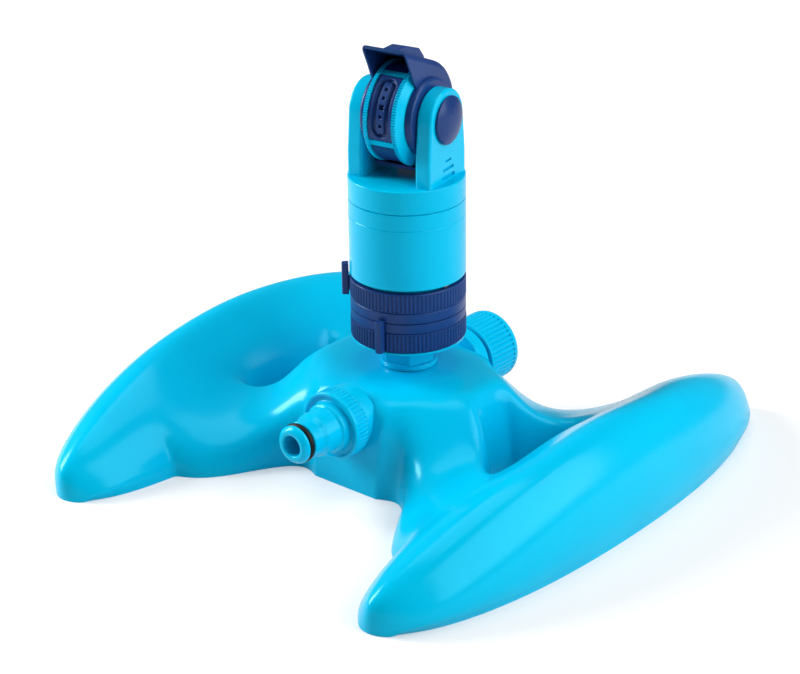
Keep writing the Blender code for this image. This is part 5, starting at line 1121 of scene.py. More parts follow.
def collar_tab(name, degrees, base_z, root_top_z):
    """A grip tab on a collar, narrower towards its outer face, with its root in the collar."""
    clear = TOWER_RADIUS + FIT + 0.0001
    tip = TOWER_RADIUS + TAB_REACH
    half = TAB_WIDTH / 2
    plan = [(clear, -half), (tip - 0.0004, -half * 0.86), (tip, -half * 0.45), (tip, half * 0.45),
            (tip - 0.0004, half * 0.86), (clear, half)]
    tab = prism(name, rounded(plan, 0.0006), base_z, base_z + TAB_HEIGHT, round_z(degrees), 0.0005)
    root = block(name + "_root", (TOWER_RADIUS - 0.0006, -TAB_ROOT_HALF, base_z + 0.002),
                 (clear + 0.0006, TAB_ROOT_HALF, root_top_z - 0.001), round_z(degrees))
    return [tab, root]


print("a tab stands %g mm out of its collar" % mm(TAB_REACH))

# %% [markdown]
# ## Lower collar
#
# The lower collar has a thin sleeve inside that reaches up behind the upper one. Its outline steps in by
# half a millimetre above the ribs, which draws the fine dark line between ribs and band.

# %% Lower collar
split_low = COLLAR_SPLIT_Z - FIT / 2
lower_outline = [
    (SLEEVE_INNER_RADIUS, SLEEVE_TOP_Z), *at_radius(SLEEVE_OUTER_RADIUS, SLEEVE_TOP_Z, split_low),
    *at_radius(BAND_RADIUS, split_low, LOWER_BAND_Z + BAND_STEP),
    *at_radius(STEP_RADIUS, LOWER_BAND_Z + BAND_STEP * 0.6, LOWER_BAND_Z + ROW_GAP),
    *at_radius(TOWER_RADIUS, LOWER_BAND_Z, LOWER_BAND_Z - 0.0003, LOWER_BAND_Z - 0.0004),
    *at_radius(TOWER_RADIUS, COLLAR_BOTTOM_Z + 0.0006, COLLAR_BOTTOM_Z + 0.0005),
    (BAND_RADIUS, COLLAR_BOTTOM_Z), (SLEEVE_INNER_RADIUS, COLLAR_BOTTOM_Z)]
lower = ribbed("lower_collar", rounded(lower_outline, 0.0003, 2), None, low=COLLAR_BOTTOM_Z + 0.00055,
               high=LOWER_BAND_Z - 0.00035, **COLLAR_RIB)
lower_tab = collar_tab("lower_tab", LOWER_TAB_DEG, LOWER_TAB_BASE_Z, COLLAR_SPLIT_Z)
settle("lower_arc_ring", [lower, *lower_tab], "lower_collar", ["lower_arc_collar"], *NAVY, 40.0)

# %% [markdown]
# ## Upper collar
#
# The upper collar is the lower one the other way up, without the sleeve: ribs above, band below.

# %% Upper collar
split_high = COLLAR_SPLIT_Z + FIT / 2
upper_outline = [
    (UPPER_BORE_RADIUS, COLLAR_TOP_Z), (BAND_RADIUS, COLLAR_TOP_Z),
    *at_radius(TOWER_RADIUS, COLLAR_TOP_Z - 0.0005, COLLAR_TOP_Z - 0.0006),
    *at_radius(TOWER_RADIUS, UPPER_BAND_Z + 0.0004, UPPER_BAND_Z + 0.0003, UPPER_BAND_Z),
    *at_radius(STEP_RADIUS, UPPER_BAND_Z - ROW_GAP, UPPER_BAND_Z - BAND_STEP * 0.6),
    *at_radius(BAND_RADIUS, UPPER_BAND_Z - BAND_STEP, split_high), (UPPER_BORE_RADIUS, split_high)]
upper = ribbed("upper_collar", rounded(upper_outline, 0.0003, 2), None, low=UPPER_BAND_Z + 0.00035,
               high=COLLAR_TOP_Z - 0.00055, **COLLAR_RIB)
upper_tab = collar_tab("upper_tab", UPPER_TAB_DEG, UPPER_TAB_BASE_Z, COLLAR_TOP_Z)
settle("upper_arc_ring", [upper, *upper_tab], "upper_collar", ["upper_arc_collar"], *NAVY, 40.0)

# %% [markdown]
# ## Collar seat
#
# The collars turn on a cyan seat, a cup with a flange at its foot. Only the flange's edge shows, as a
# bright line under the lower collar.

# %% Collar seat
seat_flange = TOWER_RADIUS - 0.0004
seat_core = HUB_RADIUS - HUB_WALL
seat_floor = HUB_BOTTOM_Z + HUB_WALL
seat_outline = [
    (seat_core, HUB_TOP_Z), *at_radius(HUB_RADIUS, HUB_TOP_Z, HUB_FLANGE_TOP_Z),
    *at_radius(seat_flange, HUB_FLANGE_TOP_Z, HUB_BOTTOM_Z), *at_radius(STEM_BORE, HUB_BOTTOM_Z, seat_floor),
    (seat_core, seat_floor)]
seat = turned("collar_seat", rounded(seat_outline, 0.00025))
settle("collar_seat", [seat], "base", ["collar_hub"], *CYAN, 40.0)

# %% [markdown]
# ## Where the head is
#
# The head was turned a little when the picture was taken. So everything on it is drawn along straight
# axes and then put in its place by one matrix, HEAD. The drum, the hood and the fork's arms are drawn
# about the drum's axle, with that axle as local Z, and put in their place by PIVOT.

# %% Places on the head
HEAD_YAW_DEG = 8.43
PIVOT_Z = 0.1581
HEAD = round_z(HEAD_YAW_DEG)
AXLE_UP = Euler((math.pi / 2, 0.0, math.pi / 2)).to_matrix().to_4x4()
PIVOT = HEAD @ Matrix.Translation((0.0, 0.0, PIVOT_Z)) @ AXLE_UP
print("axle in metres:", [round(v, 4) for v in PIVOT.translation])

# %% [markdown]
# ## Tower housing
#
# The housing is a plain polished tube round the gears. A V-shaped line runs round it under the fork, and
# its top edge meets the fork's deck in a fine seam. Its floor has a bore for the riser, a slot for the
# trip lever's finger and a hole for the lever's pin, which Booleans cut. It turns with the head.

# %% Tower housing
HOUSING_WALL = 0.0022
FLOOR_TOP_Z = HOUSING_BOTTOM_Z + 0.0025
HOUSING_TOP_Z = 0.1213
HOUSING_LEDGE_Z = 0.1035
LEDGE_WIDTH = 0.0015
V_LINE_Z = 0.1143
V_LINE_DEPTH = 0.0002
TRIP_DEG = 350.0
TRIP_SLOT_HALF = 0.0036
TRIP_PIVOT_RADIUS = 0.0142
TRIP_PIN_RADIUS = 0.0015
bore = TOWER_RADIUS - HOUSING_WALL
thrust_outer = HUB_RADIUS - 0.0002
thrust_inner = HUB_RADIUS - HUB_WALL - 0.0004
thrust_z = HUB_TOP_Z + FIT
below_floor = HOUSING_BOTTOM_Z - 0.001
above_floor = FLOOR_TOP_Z + 0.001
housing_outline = [
    (bore, HOUSING_TOP_Z), *at_radius(TOWER_RADIUS, HOUSING_TOP_Z, V_LINE_Z + V_LINE_DEPTH),
    (TOWER_RADIUS - V_LINE_DEPTH, V_LINE_Z),
    *at_radius(TOWER_RADIUS, V_LINE_Z - V_LINE_DEPTH, HOUSING_BOTTOM_Z),
    *at_radius(thrust_outer, HOUSING_BOTTOM_Z, thrust_z),
    *at_radius(thrust_inner, thrust_z, HOUSING_BOTTOM_Z),
    *at_radius(STEM_BORE, HOUSING_BOTTOM_Z, FLOOR_TOP_Z),
    *at_radius(bore, FLOOR_TOP_Z, HOUSING_LEDGE_Z - LEDGE_WIDTH * 2),
    *at_radius(bore - LEDGE_WIDTH, HOUSING_LEDGE_Z - LEDGE_WIDTH * 0.8, HOUSING_LEDGE_Z),
    (bore, HOUSING_LEDGE_Z)]
tube = turned("tower_housing", rounded(housing_outline, 0.0003, 2), HEAD)
finger_slot = block("finger_slot", (thrust_outer + 0.0001, -TRIP_SLOT_HALF, below_floor),
                    (bore - 0.0002, TRIP_SLOT_HALF, above_floor), HEAD @ round_z(TRIP_DEG))
pin_place = HEAD @ Matrix.Translation((*polar(TRIP_PIVOT_RADIUS, TRIP_DEG), 0.0))
pin_hole = cylinder("pin_hole", TRIP_PIN_RADIUS, below_floor, above_floor, pin_place, 16)
tube = cut_all(tube, [finger_slot, pin_hole])
settle("tower_housing", [tube], "head", ["gear_housing"], *CYAN, 40.0)

# %% [markdown]
# ## Fork: deck
#
# The fork is a round deck with two upright arms that hold the drum. The deck goes down into the housing
# as a sleeve, and a seam of a tenth of a millimetre between the two lets the joint show as a fine line.

# %% Fork deck
DECK_Z = 0.1317
DECK_THICKNESS = 0.0026
SEAM = 0.0001
UPPER_PLATE_TOP_Z = 0.1138
deck_bottom = DECK_Z - DECK_THICKNESS
sleeve = bore - FIT
sleeve_foot = UPPER_PLATE_TOP_Z + FIT
deck_outline = [
    (0.0, DECK_Z), *at_radius(TOWER_RADIUS, DECK_Z, HOUSING_TOP_Z + SEAM),
    *at_radius(sleeve, HOUSING_TOP_Z + SEAM, sleeve_foot),
    *at_radius(sleeve - HOUSING_WALL, sleeve_foot, deck_bottom), (0.0, deck_bottom)]
deck = turned("fork_deck", rounded(deck_outline, 0.0007, closed=False), HEAD)
print("deck: %g mm across, its top %g mm above the ground" % (mm(TOWER_RADIUS * 2), mm(DECK_Z)))

# %% [markdown]
# ## Fork: grip panels
#
# A tapered panel stands on the outside of each arm and fades into it towards the top. Three short rounded
# grooves of growing length cross it. The panel is a prism whose outer face is moved in by a rule of its
# height, and the grooves are small prisms that are cut out after it has been added to the arm.

# %% Grip panels
ARM_INNER_X = 0.0130
ARM_OUTER_X = 0.0203
PANEL_RISE = 0.0008
PANEL_HEIGHT = 0.0113
PANEL_FADE = 0.65
PANEL_FOOT_HALF = 0.0065
PANEL_TOP_HALF = 0.0025
# Middle height, half width, half height of each groove
PANEL_GROOVES = ((0.1405, 0.0024, 0.00055), (0.1370, 0.0043, 0.00068), (0.1336, 0.0050, 0.00080))
GROOVE_SHIFT = 0.0004
GROOVE_SINK = 0.0010
panel_low = DECK_Z - PIVOT_Z + 0.0002
panel_high = panel_low + PANEL_HEIGHT
panel_side = [(-PANEL_FOOT_HALF, panel_low), (PANEL_FOOT_HALF, panel_low), (PANEL_TOP_HALF, panel_high),
              (-PANEL_TOP_HALF, panel_high)]


def on_side(sign, near, far):
    """Lower and upper end along the axle of a span on the right (1) or on the left (-1)."""
    return sorted((sign * near, sign * far))


def grip_panel(side, sign):
    """A panel whose outer face sinks into the arm towards its top."""
    span = on_side(sign, ARM_OUTER_X - 0.001, ARM_OUTER_X + PANEL_RISE)
    panel = prism(side + "_panel", rounded(panel_side, 0.0005), *span, PIVOT, 0.0003)
    for vert in panel.data.vertices:
        proud = sign * vert.co.z - ARM_OUTER_X
        if proud > 0.0:
            share = (vert.co.y - panel_low) / PANEL_HEIGHT
            vert.co.z = sign * (ARM_OUTER_X + proud * (1.0 - PANEL_FADE * share))
    return panel


def grip_grooves(sign):
    """Cutters for the three grooves of a panel."""
    cutters = []
    span = on_side(sign, ARM_OUTER_X - GROOVE_SINK, ARM_OUTER_X + 0.002)
    for height, half, half_height in PANEL_GROOVES:
        low_y, high_y = GROOVE_SHIFT - half, GROOVE_SHIFT + half
        low_z, high_z = height - PIVOT_Z - half_height, height - PIVOT_Z + half_height
        outline = rounded([(low_y, low_z), (high_y, low_z), (high_y, high_z), (low_y, high_z)], 0.0004)
        cutters.append(prism("groove", outline, *span, PIVOT))
    return cutters


print("grooves: %s mm long" % [mm(half * 2) for _, half, _ in PANEL_GROOVES])

# %% [markdown]
# ## Fork: arms
#
# An arm is a side outline with a round head about the axle, given its width and well-rounded edges by a
# Bevel. The Bevel stands before the cuts, so the axle's seat and the hub cap's plug hole keep crisp
# edges.

# %% Fork arms
ARM_BASE_HALF = 0.0146
ARM_SHOULDER_Z = 0.1420
ARM_TOP_RADIUS = 0.0131
ARM_ROUND = 0.0013
ARM_HEAD_STEPS = 40
AXLE_RADIUS = 0.0060
AXLE_SEAT_X = 0.0186
PLUG_RADIUS = 0.0040
foot = DECK_Z - PIVOT_Z - DECK_THICKNESS / 2
shoulder = ARM_SHOULDER_Z - PIVOT_Z
arm_head = [polar(ARM_TOP_RADIUS, 4.0 + 172.0 * step / ARM_HEAD_STEPS) for step in range(ARM_HEAD_STEPS + 1)]
arm_side = [(ARM_BASE_HALF, foot), (ARM_BASE_HALF, shoulder), *arm_head,
            (-ARM_BASE_HALF, shoulder), (-ARM_BASE_HALF, foot)]
arms = []
for side, sign in (("right", 1.0), ("left", -1.0)):
    arm = prism(side + "_arm", arm_side, *on_side(sign, ARM_INNER_X, ARM_OUTER_X), PIVOT, ARM_ROUND, 4)
    axle_span = on_side(sign, ARM_INNER_X - 0.001, AXLE_SEAT_X)
    plug_span = on_side(sign, AXLE_SEAT_X - 0.001, ARM_OUTER_X + 0.001)
    axle_seat = cylinder("axle_bore", AXLE_RADIUS + FIT, *axle_span, PIVOT, 48)
    plug_hole = cylinder("plug_hole", PLUG_RADIUS + FIT, *plug_span, PIVOT, 48)
    arm = add_all(cut_all(arm, [axle_seat, plug_hole]), [grip_panel(side, sign)])
    arms.append(cut_all(arm, grip_grooves(sign)))
settle("fork", [deck, *arms], "head", ["fork_head"], *CYAN, 40.0)

# %% [markdown]
# ## Hub caps
#
# A domed navy cap is pressed in over each end of the axle. Its outline is a low dome, close to a slice of
# a ball but fuller near its rim, with a short cylindrical rim and a plug behind it.

# %% Hub caps
HUB_CAP_RADIUS = 0.0103
HUB_CAP_HEIGHT = 0.0031
HUB_CAP_RIM = 0.0008
DOME_STEPS = 16
DOME_POWER = 2.3
cap_low = ARM_OUTER_X + FIT
plug_end = AXLE_SEAT_X + FIT
dome_shares = [step / DOME_STEPS for step in range(DOME_STEPS + 1)]
dome_rise = HUB_CAP_HEIGHT - HUB_CAP_RIM
dome = [(HUB_CAP_RADIUS * share, cap_low + HUB_CAP_RIM + dome_rise * (1.0 - share ** DOME_POWER))
        for share in dome_shares]
plug = [*at_radius(PLUG_RADIUS, cap_low, plug_end), (0.0, plug_end)]
hub_cap_outline = [*dome, (HUB_CAP_RADIUS, cap_low), *plug]
for side, flip in (("right", Matrix.Identity(4)), ("left", Matrix.Rotation(math.pi, 4, "X"))):
    cap_form = rounded(hub_cap_outline, 0.0003, 2, closed=False)
    hub_cap = turned(side + "_cap", cap_form, PIVOT @ flip, FINE_STEPS)
    settle(side + "_hub_dome", [hub_cap], "head", [side + "_hub_cap"], *NAVY, 50.0)

# %% [markdown]
# ## Pattern drum
#
# The drum's frame is two toothed flanges on one hub, tied by four cross bars between the nozzle plates.
# The rims carry fine teeth for the thumb, 116 to a turn, made by the same rib tree as the collars. A
# cone runs down from each rim to the side face.

# %% Drum frame
DRUM_REST_DEG = 21.5
DRUM_RADIUS = 0.0214
DRUM_RIM_X = 0.0077
DRUM_RIM_INNER_X = 0.0060
DRUM_CONE_RADIUS = 0.0169
DRUM_CONE_X = 0.0094
DRUM_HUB_WALL = 0.0016
DRUM_TEETH = 116
PLATE_RADIUS = 0.0207
PLATE_SKIN = 0.0018
BAR_HALF = PLATE_RADIUS * math.radians(7.0) / 2
drum_bore = AXLE_RADIUS + FIT
drum_hub = drum_bore + DRUM_HUB_WALL


def facing(front_deg):
    """A direction given from the front, upwards, as an angle in the pivot's own axes."""
    return 180.0 - front_deg


def on_drum(degrees):
    """The place of something at an angle round the drum."""
    return PIVOT @ round_z(degrees)


half_drum = [
    (DRUM_CONE_RADIUS, DRUM_CONE_X), (DRUM_RADIUS - 0.0005, DRUM_RIM_X + 0.0002),
    *at_radius(DRUM_RADIUS, DRUM_RIM_X - 0.0001, DRUM_RIM_X - 0.0002),
    *at_radius(DRUM_RADIUS, DRUM_RIM_INNER_X + ROW_GAP, DRUM_RIM_INNER_X), (drum_hub, DRUM_RIM_INNER_X)]
mirrored = [(radius, -height) for radius, height in reversed(half_drum)]
drum_outline = [(drum_bore, DRUM_CONE_X), *half_drum, *mirrored, (drum_bore, -DRUM_CONE_X)]
drum = ribbed("drum_frame", rounded(drum_outline, 0.00025, 2), PIVOT, DRUM_TEETH, steps_per_rib=6,
              depth=0.00042, rib=0.36, slope=0.36, low=DRUM_RIM_INNER_X + HALF_GAP,
              high=DRUM_RIM_X - HALF_GAP, wall_radius=DRUM_RADIUS - 0.00005, finish=cyan_abs)
bar_low = (drum_hub - 0.0005, -BAR_HALF, -DRUM_RIM_INNER_X - 0.0005)
bar_high = (DRUM_RADIUS - 0.0006, BAR_HALF, DRUM_RIM_INNER_X + 0.0005)
bars = [block("bar", bar_low, bar_high, on_drum(facing(DRUM_REST_DEG) + 45.0 + 90.0 * k)) for k in range(4)]
settle("drum_frame", [drum, *bars], "drum", ["drum_frame"], *CYAN, 40.0)

# %% [markdown]
# ## Nozzle plates: the rule
#
# Four curved navy plates sit between the flanges, one for each spray pattern. Such relief on a curved
# plate follows from one rule: how far the surface sinks at each angle and place across. A fine grid bent
# round the axis takes that rule, and a Solidify modifier gives it the plate's thickness. Cutting every
# hole by a Boolean would work too, but the rule also gives the soft edges that a mould has.

# %% Plate helpers
PLATE_HALF_DEG = 45.0 - math.degrees(math.asin((BAR_HALF + FIT) / (PLATE_RADIUS - PLATE_SKIN)))
PLATE_EDGE_X = DRUM_RIM_INNER_X - FIT
JET_PITCH_DEG = 11.1
JET_DEPTH = 0.0018
EDGE_SOFTNESS = 0.00030
ROW_HALF_LENGTH = 0.0131
FRAME_HALF_WIDTH = 0.0040
FRAME_DEPTH = 0.0013
STRIP_HALF_WIDTH = 0.0019
STRIP_HALF_LENGTH = 0.0121
STRIP_HEIGHT = 0.0010
FAN_HALF_LENGTH = 0.0004
FAN_HALF_WIDTH = 0.0038
GRID_AROUND, GRID_ACROSS = 190, 84


def ramp(distance):
    """1 inside an outline and 0 outside, with a soft step where the distance is zero."""
    share = min(1.0, max(0.0, 0.5 - distance / EDGE_SOFTNESS))
    return share * share * (3.0 - 2.0 * share)


def stadium(along, across, half_length, half_width):
    """Distance to a long round-ended outline."""
    beyond = max(0.0, abs(along) - (half_length - half_width))
    return math.hypot(beyond, across) - half_width


def plate_depth(pattern, along, across, jets):
    """How far a plate sinks at a place along its arc and across it."""
    depth = 0.0
    if pattern == "jet_row":
        depth = FRAME_DEPTH * ramp(stadium(along, across, ROW_HALF_LENGTH, FRAME_HALF_WIDTH))
        depth -= STRIP_HEIGHT * ramp(stadium(along, across, STRIP_HALF_LENGTH, STRIP_HALF_WIDTH))
    if pattern == "fan":
        depth = JET_DEPTH * ramp(max(abs(along) - FAN_HALF_LENGTH, abs(across) - FAN_HALF_WIDTH))
    holes = [ramp(math.hypot(along - x, across - y) - radius) for x, y, radius in jets]
    return depth + (JET_DEPTH - depth) * max(holes, default=0.0)


def nozzle_plate(pattern, jets, place):
    """A grid bent round the drum's axis, sunk by the pattern's rule."""
    bm = bmesh.new()
    bmesh.ops.create_grid(bm, x_segments=GRID_AROUND, y_segments=GRID_ACROSS, size=1.0)
    for vert in bm.verts:
        degrees = vert.co.x * PLATE_HALF_DEG
        across = vert.co.y * PLATE_EDGE_X
        radius = PLATE_RADIUS - plate_depth(pattern, math.radians(degrees) * PLATE_RADIUS, across, jets)
        x, y = polar(radius, degrees)
        vert.co = (x, y, across)
    middle = min(bm.faces, key=lambda face: face.calc_center_median().to_2d().angle(Vector((1.0, 0.0))))
    if middle.normal.x < 0.0:
        bmesh.ops.reverse_faces(bm, faces=bm.faces)
    plate = object_from(pattern, bm, place)
    wall = plate.modifiers.new("plate_skin", "SOLIDIFY")
    wall.thickness = PLATE_SKIN * 0.6
    wall.offset = -1.0
    return plate


print("a plate spans %.1f degrees of the drum" % (PLATE_HALF_DEG * 2))

# %% [markdown]
# ## Nozzle plates: four patterns
#
# The plate that faces forwards is the jet row: a long rounded frame with a raised strip in it, six round
# jets and a four-lobed one in the middle. The other three are a shower of nine holes, a cone of one hole
# with six round it, and a fan's slot. Each pattern is a list of holes: along the arc, across, radius.


# %% The four plates
def arc_spot(degrees, across, radius):
    """A hole at an angle along the plate."""
    return math.radians(degrees) * PLATE_RADIUS, across, radius


PATTERNS = {
    "jet_row": [arc_spot(JET_PITCH_DEG * k, 0.0, 0.00072) for k in (-3, -2, -1, 1, 2, 3)]
    + [(*polar(0.00085, 90.0 * k + 45.0), 0.00055) for k in range(4)] + [(0.0, 0.0, 0.0005)],
    "shower": [arc_spot(12.0 * a, 0.0028 * b, 0.0007) for a in (-1, 0, 1) for b in (-1, 0, 1)],
    "cone": [arc_spot(0.0, 0.0, 0.0011)] + [(*polar(0.0034, 60.0 * k), 0.0007) for k in range(6)],
    "fan": [],
}
for index, (pattern, jets) in enumerate(PATTERNS.items()):
    plate = nozzle_plate(pattern, jets, on_drum(facing(DRUM_REST_DEG) - index * 90.0))
    settle(pattern + "_plate", [plate], "drum", [pattern + "_nozzle_plate"], *NAVY, 80.0)

# %% [markdown]
# ## Hood: outline and roof
#
# The hood wraps over and behind the drum and screens the patterns that are not in use. It starts as a
# side outline given a width: an arc about the axle, a straight roof that runs on to a lip in front, and a
# stepped front edge on the cheeks. Only the two long edges where the roof meets the cheeks are widely
# rounded, so they alone get a bevel weight.

# %% Hood sizes
HOOD_RADIUS = 0.0231
HOOD_SKIN = 0.0013
HOOD_HALF_WIDTH = 0.0106
HOOD_DISC_RADIUS = 0.0165
HOOD_DISC_X = 0.0127
HOOD_DISC_EDGE = 0.0008
HOOD_LIP = (-0.0173, 0.0323)
HOOD_TAIL_DEG = facing(-67.0) - 360.0
HOOD_ROUND = 0.0027
HOOD_ARC_STEPS = 60
HOOD_FRONT_EDGE = [(-0.0040, -0.0080), (-0.0040, 0.0080), (-0.0100, 0.0170), (-0.0123, 0.0222)]
RIB_HALF = 0.0032
RIB_FRONT = -0.0130
RIB_CREST = [(-0.0115, 0.0304), (-0.0050, 0.0304), (0.0065, 0.0264), (0.0100, 0.0222), (0.0108, 0.0197)]
lip_reach = math.hypot(*HOOD_LIP)
lip_deg = math.degrees(math.atan2(HOOD_LIP[1], HOOD_LIP[0]))
tangent_deg = lip_deg - math.degrees(math.acos(HOOD_RADIUS / lip_reach))
print("the roof leaves the arc at %.1f degrees; its lip is %g mm off the axle" % (tangent_deg, mm(lip_reach)))


# %% Hood form
def round_roof_edges(hood):
    """Give the two long roof edges a bevel weight, and leave the others sharp."""
    bm = bmesh.new()
    bm.from_mesh(hood.data)
    weight = bm.edges.layers.float.new("bevel_weight_edge")
    for edge in bm.edges:
        a, b = [vert.co for vert in edge.verts]
        square = edge.calc_face_angle(0.0) > math.radians(60.0)
        on_roof = min(a.to_2d().length, b.to_2d().length) > HOOD_RADIUS - 0.0001
        at_lip = max(a.x, b.x) < HOOD_LIP[0] * 0.6
        edge[weight] = 1.0 if square and abs(a.z - b.z) < MERGE_DISTANCE and on_roof and not at_lip else 0.0
    bm.to_mesh(hood.data)
    bm.free()
    rounding = hood.modifiers.new("roof_edges", "BEVEL")
    rounding.width = HOOD_ROUND
    rounding.segments = 5
    rounding.limit_method = "WEIGHT"
    rounding.use_clamp_overlap = False


tail_turns = [tangent_deg + (HOOD_TAIL_DEG - tangent_deg) * step / HOOD_ARC_STEPS
              for step in range(HOOD_ARC_STEPS + 1)]
hood_side = [HOOD_LIP] + [polar(HOOD_RADIUS, turn) for turn in tail_turns] + HOOD_FRONT_EDGE
hood = prism("hood", hood_side, -HOOD_HALF_WIDTH, HOOD_HALF_WIDTH, PIVOT)
round_roof_edges(hood)
print("points in the hood's side outline:", len(hood_side))

# %% [markdown]
# ## Hood: discs, thumb rib and the drum's room
#
# A round disc sits on each side of the hood round the axle, and one plain rib stands on the roof as a grip
# for the thumb. Discs and rib are added first. Then the drum's room and the axle's way are cut through
# everything, which leaves a thin skin of even thickness.

# %% Hood
ROOM_STEPS = 80
disc_flat = HOOD_DISC_RADIUS - HOOD_DISC_EDGE
disc_side = HOOD_DISC_X - HOOD_DISC_EDGE
disc_outline = [
    (0.0, HOOD_DISC_X), (disc_flat, HOOD_DISC_X), *at_radius(HOOD_DISC_RADIUS, disc_side, -disc_side),
    (disc_flat, -HOOD_DISC_X), (0.0, -HOOD_DISC_X)]
discs = turned("hood_discs", rounded(disc_outline, 0.0006, 2, closed=False), PIVOT, FINE_STEPS)
along_roof = polar(1.0, tangent_deg + 90.0)
roof_start = polar(HOOD_RADIUS - HOOD_SKIN / 2, tangent_deg)
rib_foot = roof_start[1] + (roof_start[0] - RIB_FRONT) * along_roof[1] / -along_roof[0]
rib_side = [(RIB_FRONT, rib_foot), *RIB_CREST, roof_start]
thumb_rib = prism("thumb_rib", rib_side, -RIB_HALF, RIB_HALF, PIVOT, edge=0.0005)
hood = add_all(hood, [discs, thumb_rib])
room_radius = HOOD_RADIUS - HOOD_SKIN
room_turns = [tangent_deg - (tangent_deg + 180.0) * step / ROOM_STEPS for step in range(ROOM_STEPS + 1)]
room_start = polar(room_radius, tangent_deg)
room_length = math.sqrt(lip_reach ** 2 - HOOD_RADIUS ** 2) + 0.004
room_side = [(room_start[0] + along_roof[0] * room_length, room_start[1] + along_roof[1] * room_length)]
room_side += [polar(room_radius, turn) for turn in room_turns]
room_half = DRUM_CONE_X + FIT
way_half = HOOD_DISC_X + 0.001
room = prism("drum_room", room_side, -room_half, room_half, PIVOT)
axle_way = cylinder("axle_way", AXLE_RADIUS + FIT, -way_half, way_half, PIVOT, 64)
settle("hood", [cut_all(hood, [room, axle_way])], "hood_cover", ["hood"], *NAVY, 32.0)

# %% [markdown]
# ## Finishes on the inner pieces
#
# The washers, the strainer, the gears, the gear plates, the screws, the trip lever and the axle keep the
# frame's own shapes: they are simple, exact, and out of sight. Each still gets its own real finish.

# %% Inner pieces
INNER_FINISHES = {
    nitrile: ("inlet_washer", "outlet_washer", "riser_seal", "housing_seal"),
    steel: ("gear_plate_screw_1", "gear_plate_screw_2", "gear_plate_screw_3"),
    acetal: ("inlet_strainer", "fixed_sun_gear", "jet_cup", "turbine", "compound_gear", "output_gear",
             "lower_gear_plate", "upper_gear_plate", "trip_lever", "drum_axle"),
}
for finish, names in INNER_FINISHES.items():
    for name in names:
        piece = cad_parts[name]
        if not piece.material_slots:
            piece.data.materials.append(None)
        for slot in piece.material_slots:
            slot.link = "OBJECT"
            slot.material = finish
print("inner pieces finished:", sum(len(names) for names in INNER_FINISHES.values()))

# %% [markdown]
# ## Floor
#
# The photograph is a plain product shot on a white ground with only the faintest shadow. A large pale
# floor catches that shadow. A real floor would show grey against the white behind it, so the floor also
# shines a little, for the camera alone: weakly near the object, where the shadow is, and more with
# distance, until it is as white as the background.

# %% Floor
FLOOR_REACH = 3.0
FLOOR_GREY = (0.70, 0.70, 0.70, 1.0)
WHITE = (1.0, 1.0, 1.0, 1.0)
FLOOR_LIFT = 0.25
FADE_NEAR = 0.35
FADE_FAR = 1.30


def pale_floor():
    """A large pale floor that fades into the white behind it."""
    material, tree, shader = blank_material(
        "white_studio_floor", Roughness=0.8, Base_Color=FLOOR_GREY, Specular_IOR_Level=0.1,
        Emission_Color=WHITE)
    seen = add_node(tree, "ShaderNodeLightPath").outputs["Is Camera Ray"]
    place = add_node(tree, "ShaderNodeTexCoord").outputs["Object"]
    distance = add_node(tree, "ShaderNodeVectorMath", {0: place}, operation="LENGTH").outputs["Value"]
    level = add_node(tree, "ShaderNodeMapRange", {
        "Value": distance, "From Min": FADE_NEAR, "From Max": FADE_FAR, "To Min": FLOOR_LIFT, "To Max": 1.0})
    lift = add_node(tree, "ShaderNodeMath", {0: seen, 1: level.outputs["Result"]}, operation="MULTIPLY")
    tree.links.new(lift.outputs[0], shader.inputs["Emission Strength"])
    mesh = bpy.data.meshes.new("studio_floor")
    corners = [(x * FLOOR_REACH, y * FLOOR_REACH, 0.0) for x, y in ((-1, -1), (1, -1), (1, 1), (-1, 1))]
    mesh.from_pydata(corners, [], [(0, 1, 2, 3)])
    mesh.materials.append(material)
    return raw_object("studio_floor", mesh)


floor = pale_floor()
print("floor: %g m square" % (FLOOR_REACH * 2))

# %% [markdown]
# ## Lamps
#
# Three large rectangular lamps stand for the studio's soft boxes: a tall narrow one on the left, whose
# reflection draws the bright streaks on the runners, a wide one on the right, and a weak one above. Their
# size sets how soft a shadow's edge and a highlight are, and their power is in watts.

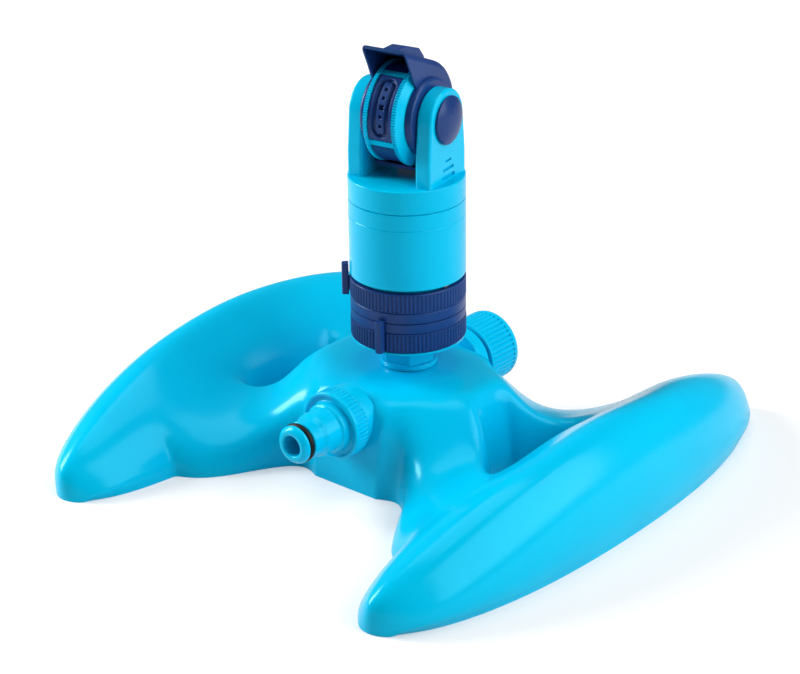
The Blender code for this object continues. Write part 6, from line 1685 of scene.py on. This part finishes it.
# %% Lamps
# Name, place, the point it aims at, width and height, watts
LAMPS = (
    ("top_softbox", (0.0, 0.1, 1.2), (0.0, 0.0, 0.05), (0.9, 0.7), 4.8),
    ("left_softbox", (-1.05, -0.50, 0.62), (0.0, 0.0, 0.07), (0.45, 0.8), 21.0),
    ("right_softbox", (1.10, 0.25, 0.70), (0.0, 0.0, 0.07), (1.3, 1.2), 18.5),
)
for name, place, aim, size, watts in LAMPS:
    lamp = bpy.data.lights.new(name, "AREA")
    lamp.shape = "RECTANGLE"
    lamp.size, lamp.size_y = size
    lamp.energy = watts
    holder = bpy.data.objects.new(name, lamp)
    holder.location = place
    holder.rotation_euler = (Vector(aim) - Vector(place)).to_track_quat("-Z", "Y").to_euler()
    bpy.context.scene.collection.objects.link(holder)
print("lamps:", [name for name, *_ in LAMPS])

# %% [markdown]
# ## White surroundings
#
# The sky that the camera sees is white, as the photograph's background is. The sky that lights the scene
# is a dim grey, because a white one would wash out the shadows and the depth of the colours.

# %% World
SKY_LEVEL = 0.12
world = bpy.data.worlds.new("white_studio")
world.use_nodes = True
scene = bpy.context.scene
scene.world = world
sky = world.node_tree
background = sky.nodes["Background"]
rays = add_node(sky, "ShaderNodeLightPath").outputs
level = add_node(sky, "ShaderNodeMapRange", {
    "Value": rays["Is Camera Ray"], "To Min": SKY_LEVEL, "To Max": 1.0})
sky.links.new(level.outputs["Result"], background.inputs["Strength"])
background.inputs["Color"].default_value = WHITE
print("sky: 1.0 for the camera, %g for the light" % SKY_LEVEL)

# %% [markdown]
# ## Camera
#
# The camera stands where the photograph was taken from: a metre away, a little above, with a long lens.
# Its direction is given as an angle round the tower and an angle above the ground, about a point on the
# object, and a small roll tilts the picture as the photograph is tilted. The Standard view keeps the
# plastic's own colours.

# %% Camera
AZIMUTH, ELEVATION, ROLL = math.radians(40.65), math.radians(24.13), math.radians(-0.86)
TARGET = Vector((-0.00373, -0.00146, 0.05513))
DISTANCE = 1.0013
LENS_MM = 103.71
SENSOR_MM = 36.0
towards = Vector((
    math.sin(AZIMUTH) * math.cos(ELEVATION), -math.cos(AZIMUTH) * math.cos(ELEVATION), math.sin(ELEVATION)))
lens = bpy.data.cameras.new("photo_view")
lens.lens = LENS_MM
lens.sensor_width = SENSOR_MM
camera = bpy.data.objects.new("photo_view", lens)
camera.location = TARGET + towards * DISTANCE
camera.rotation_mode = "QUATERNION"
camera.rotation_quaternion = (-towards).to_track_quat("-Z", "Y") @ Euler((0.0, 0.0, ROLL)).to_quaternion()
scene.collection.objects.link(camera)
scene.camera = camera
scene.view_settings.view_transform = "Standard"
print("camera in metres:", [round(v, 3) for v in camera.location])
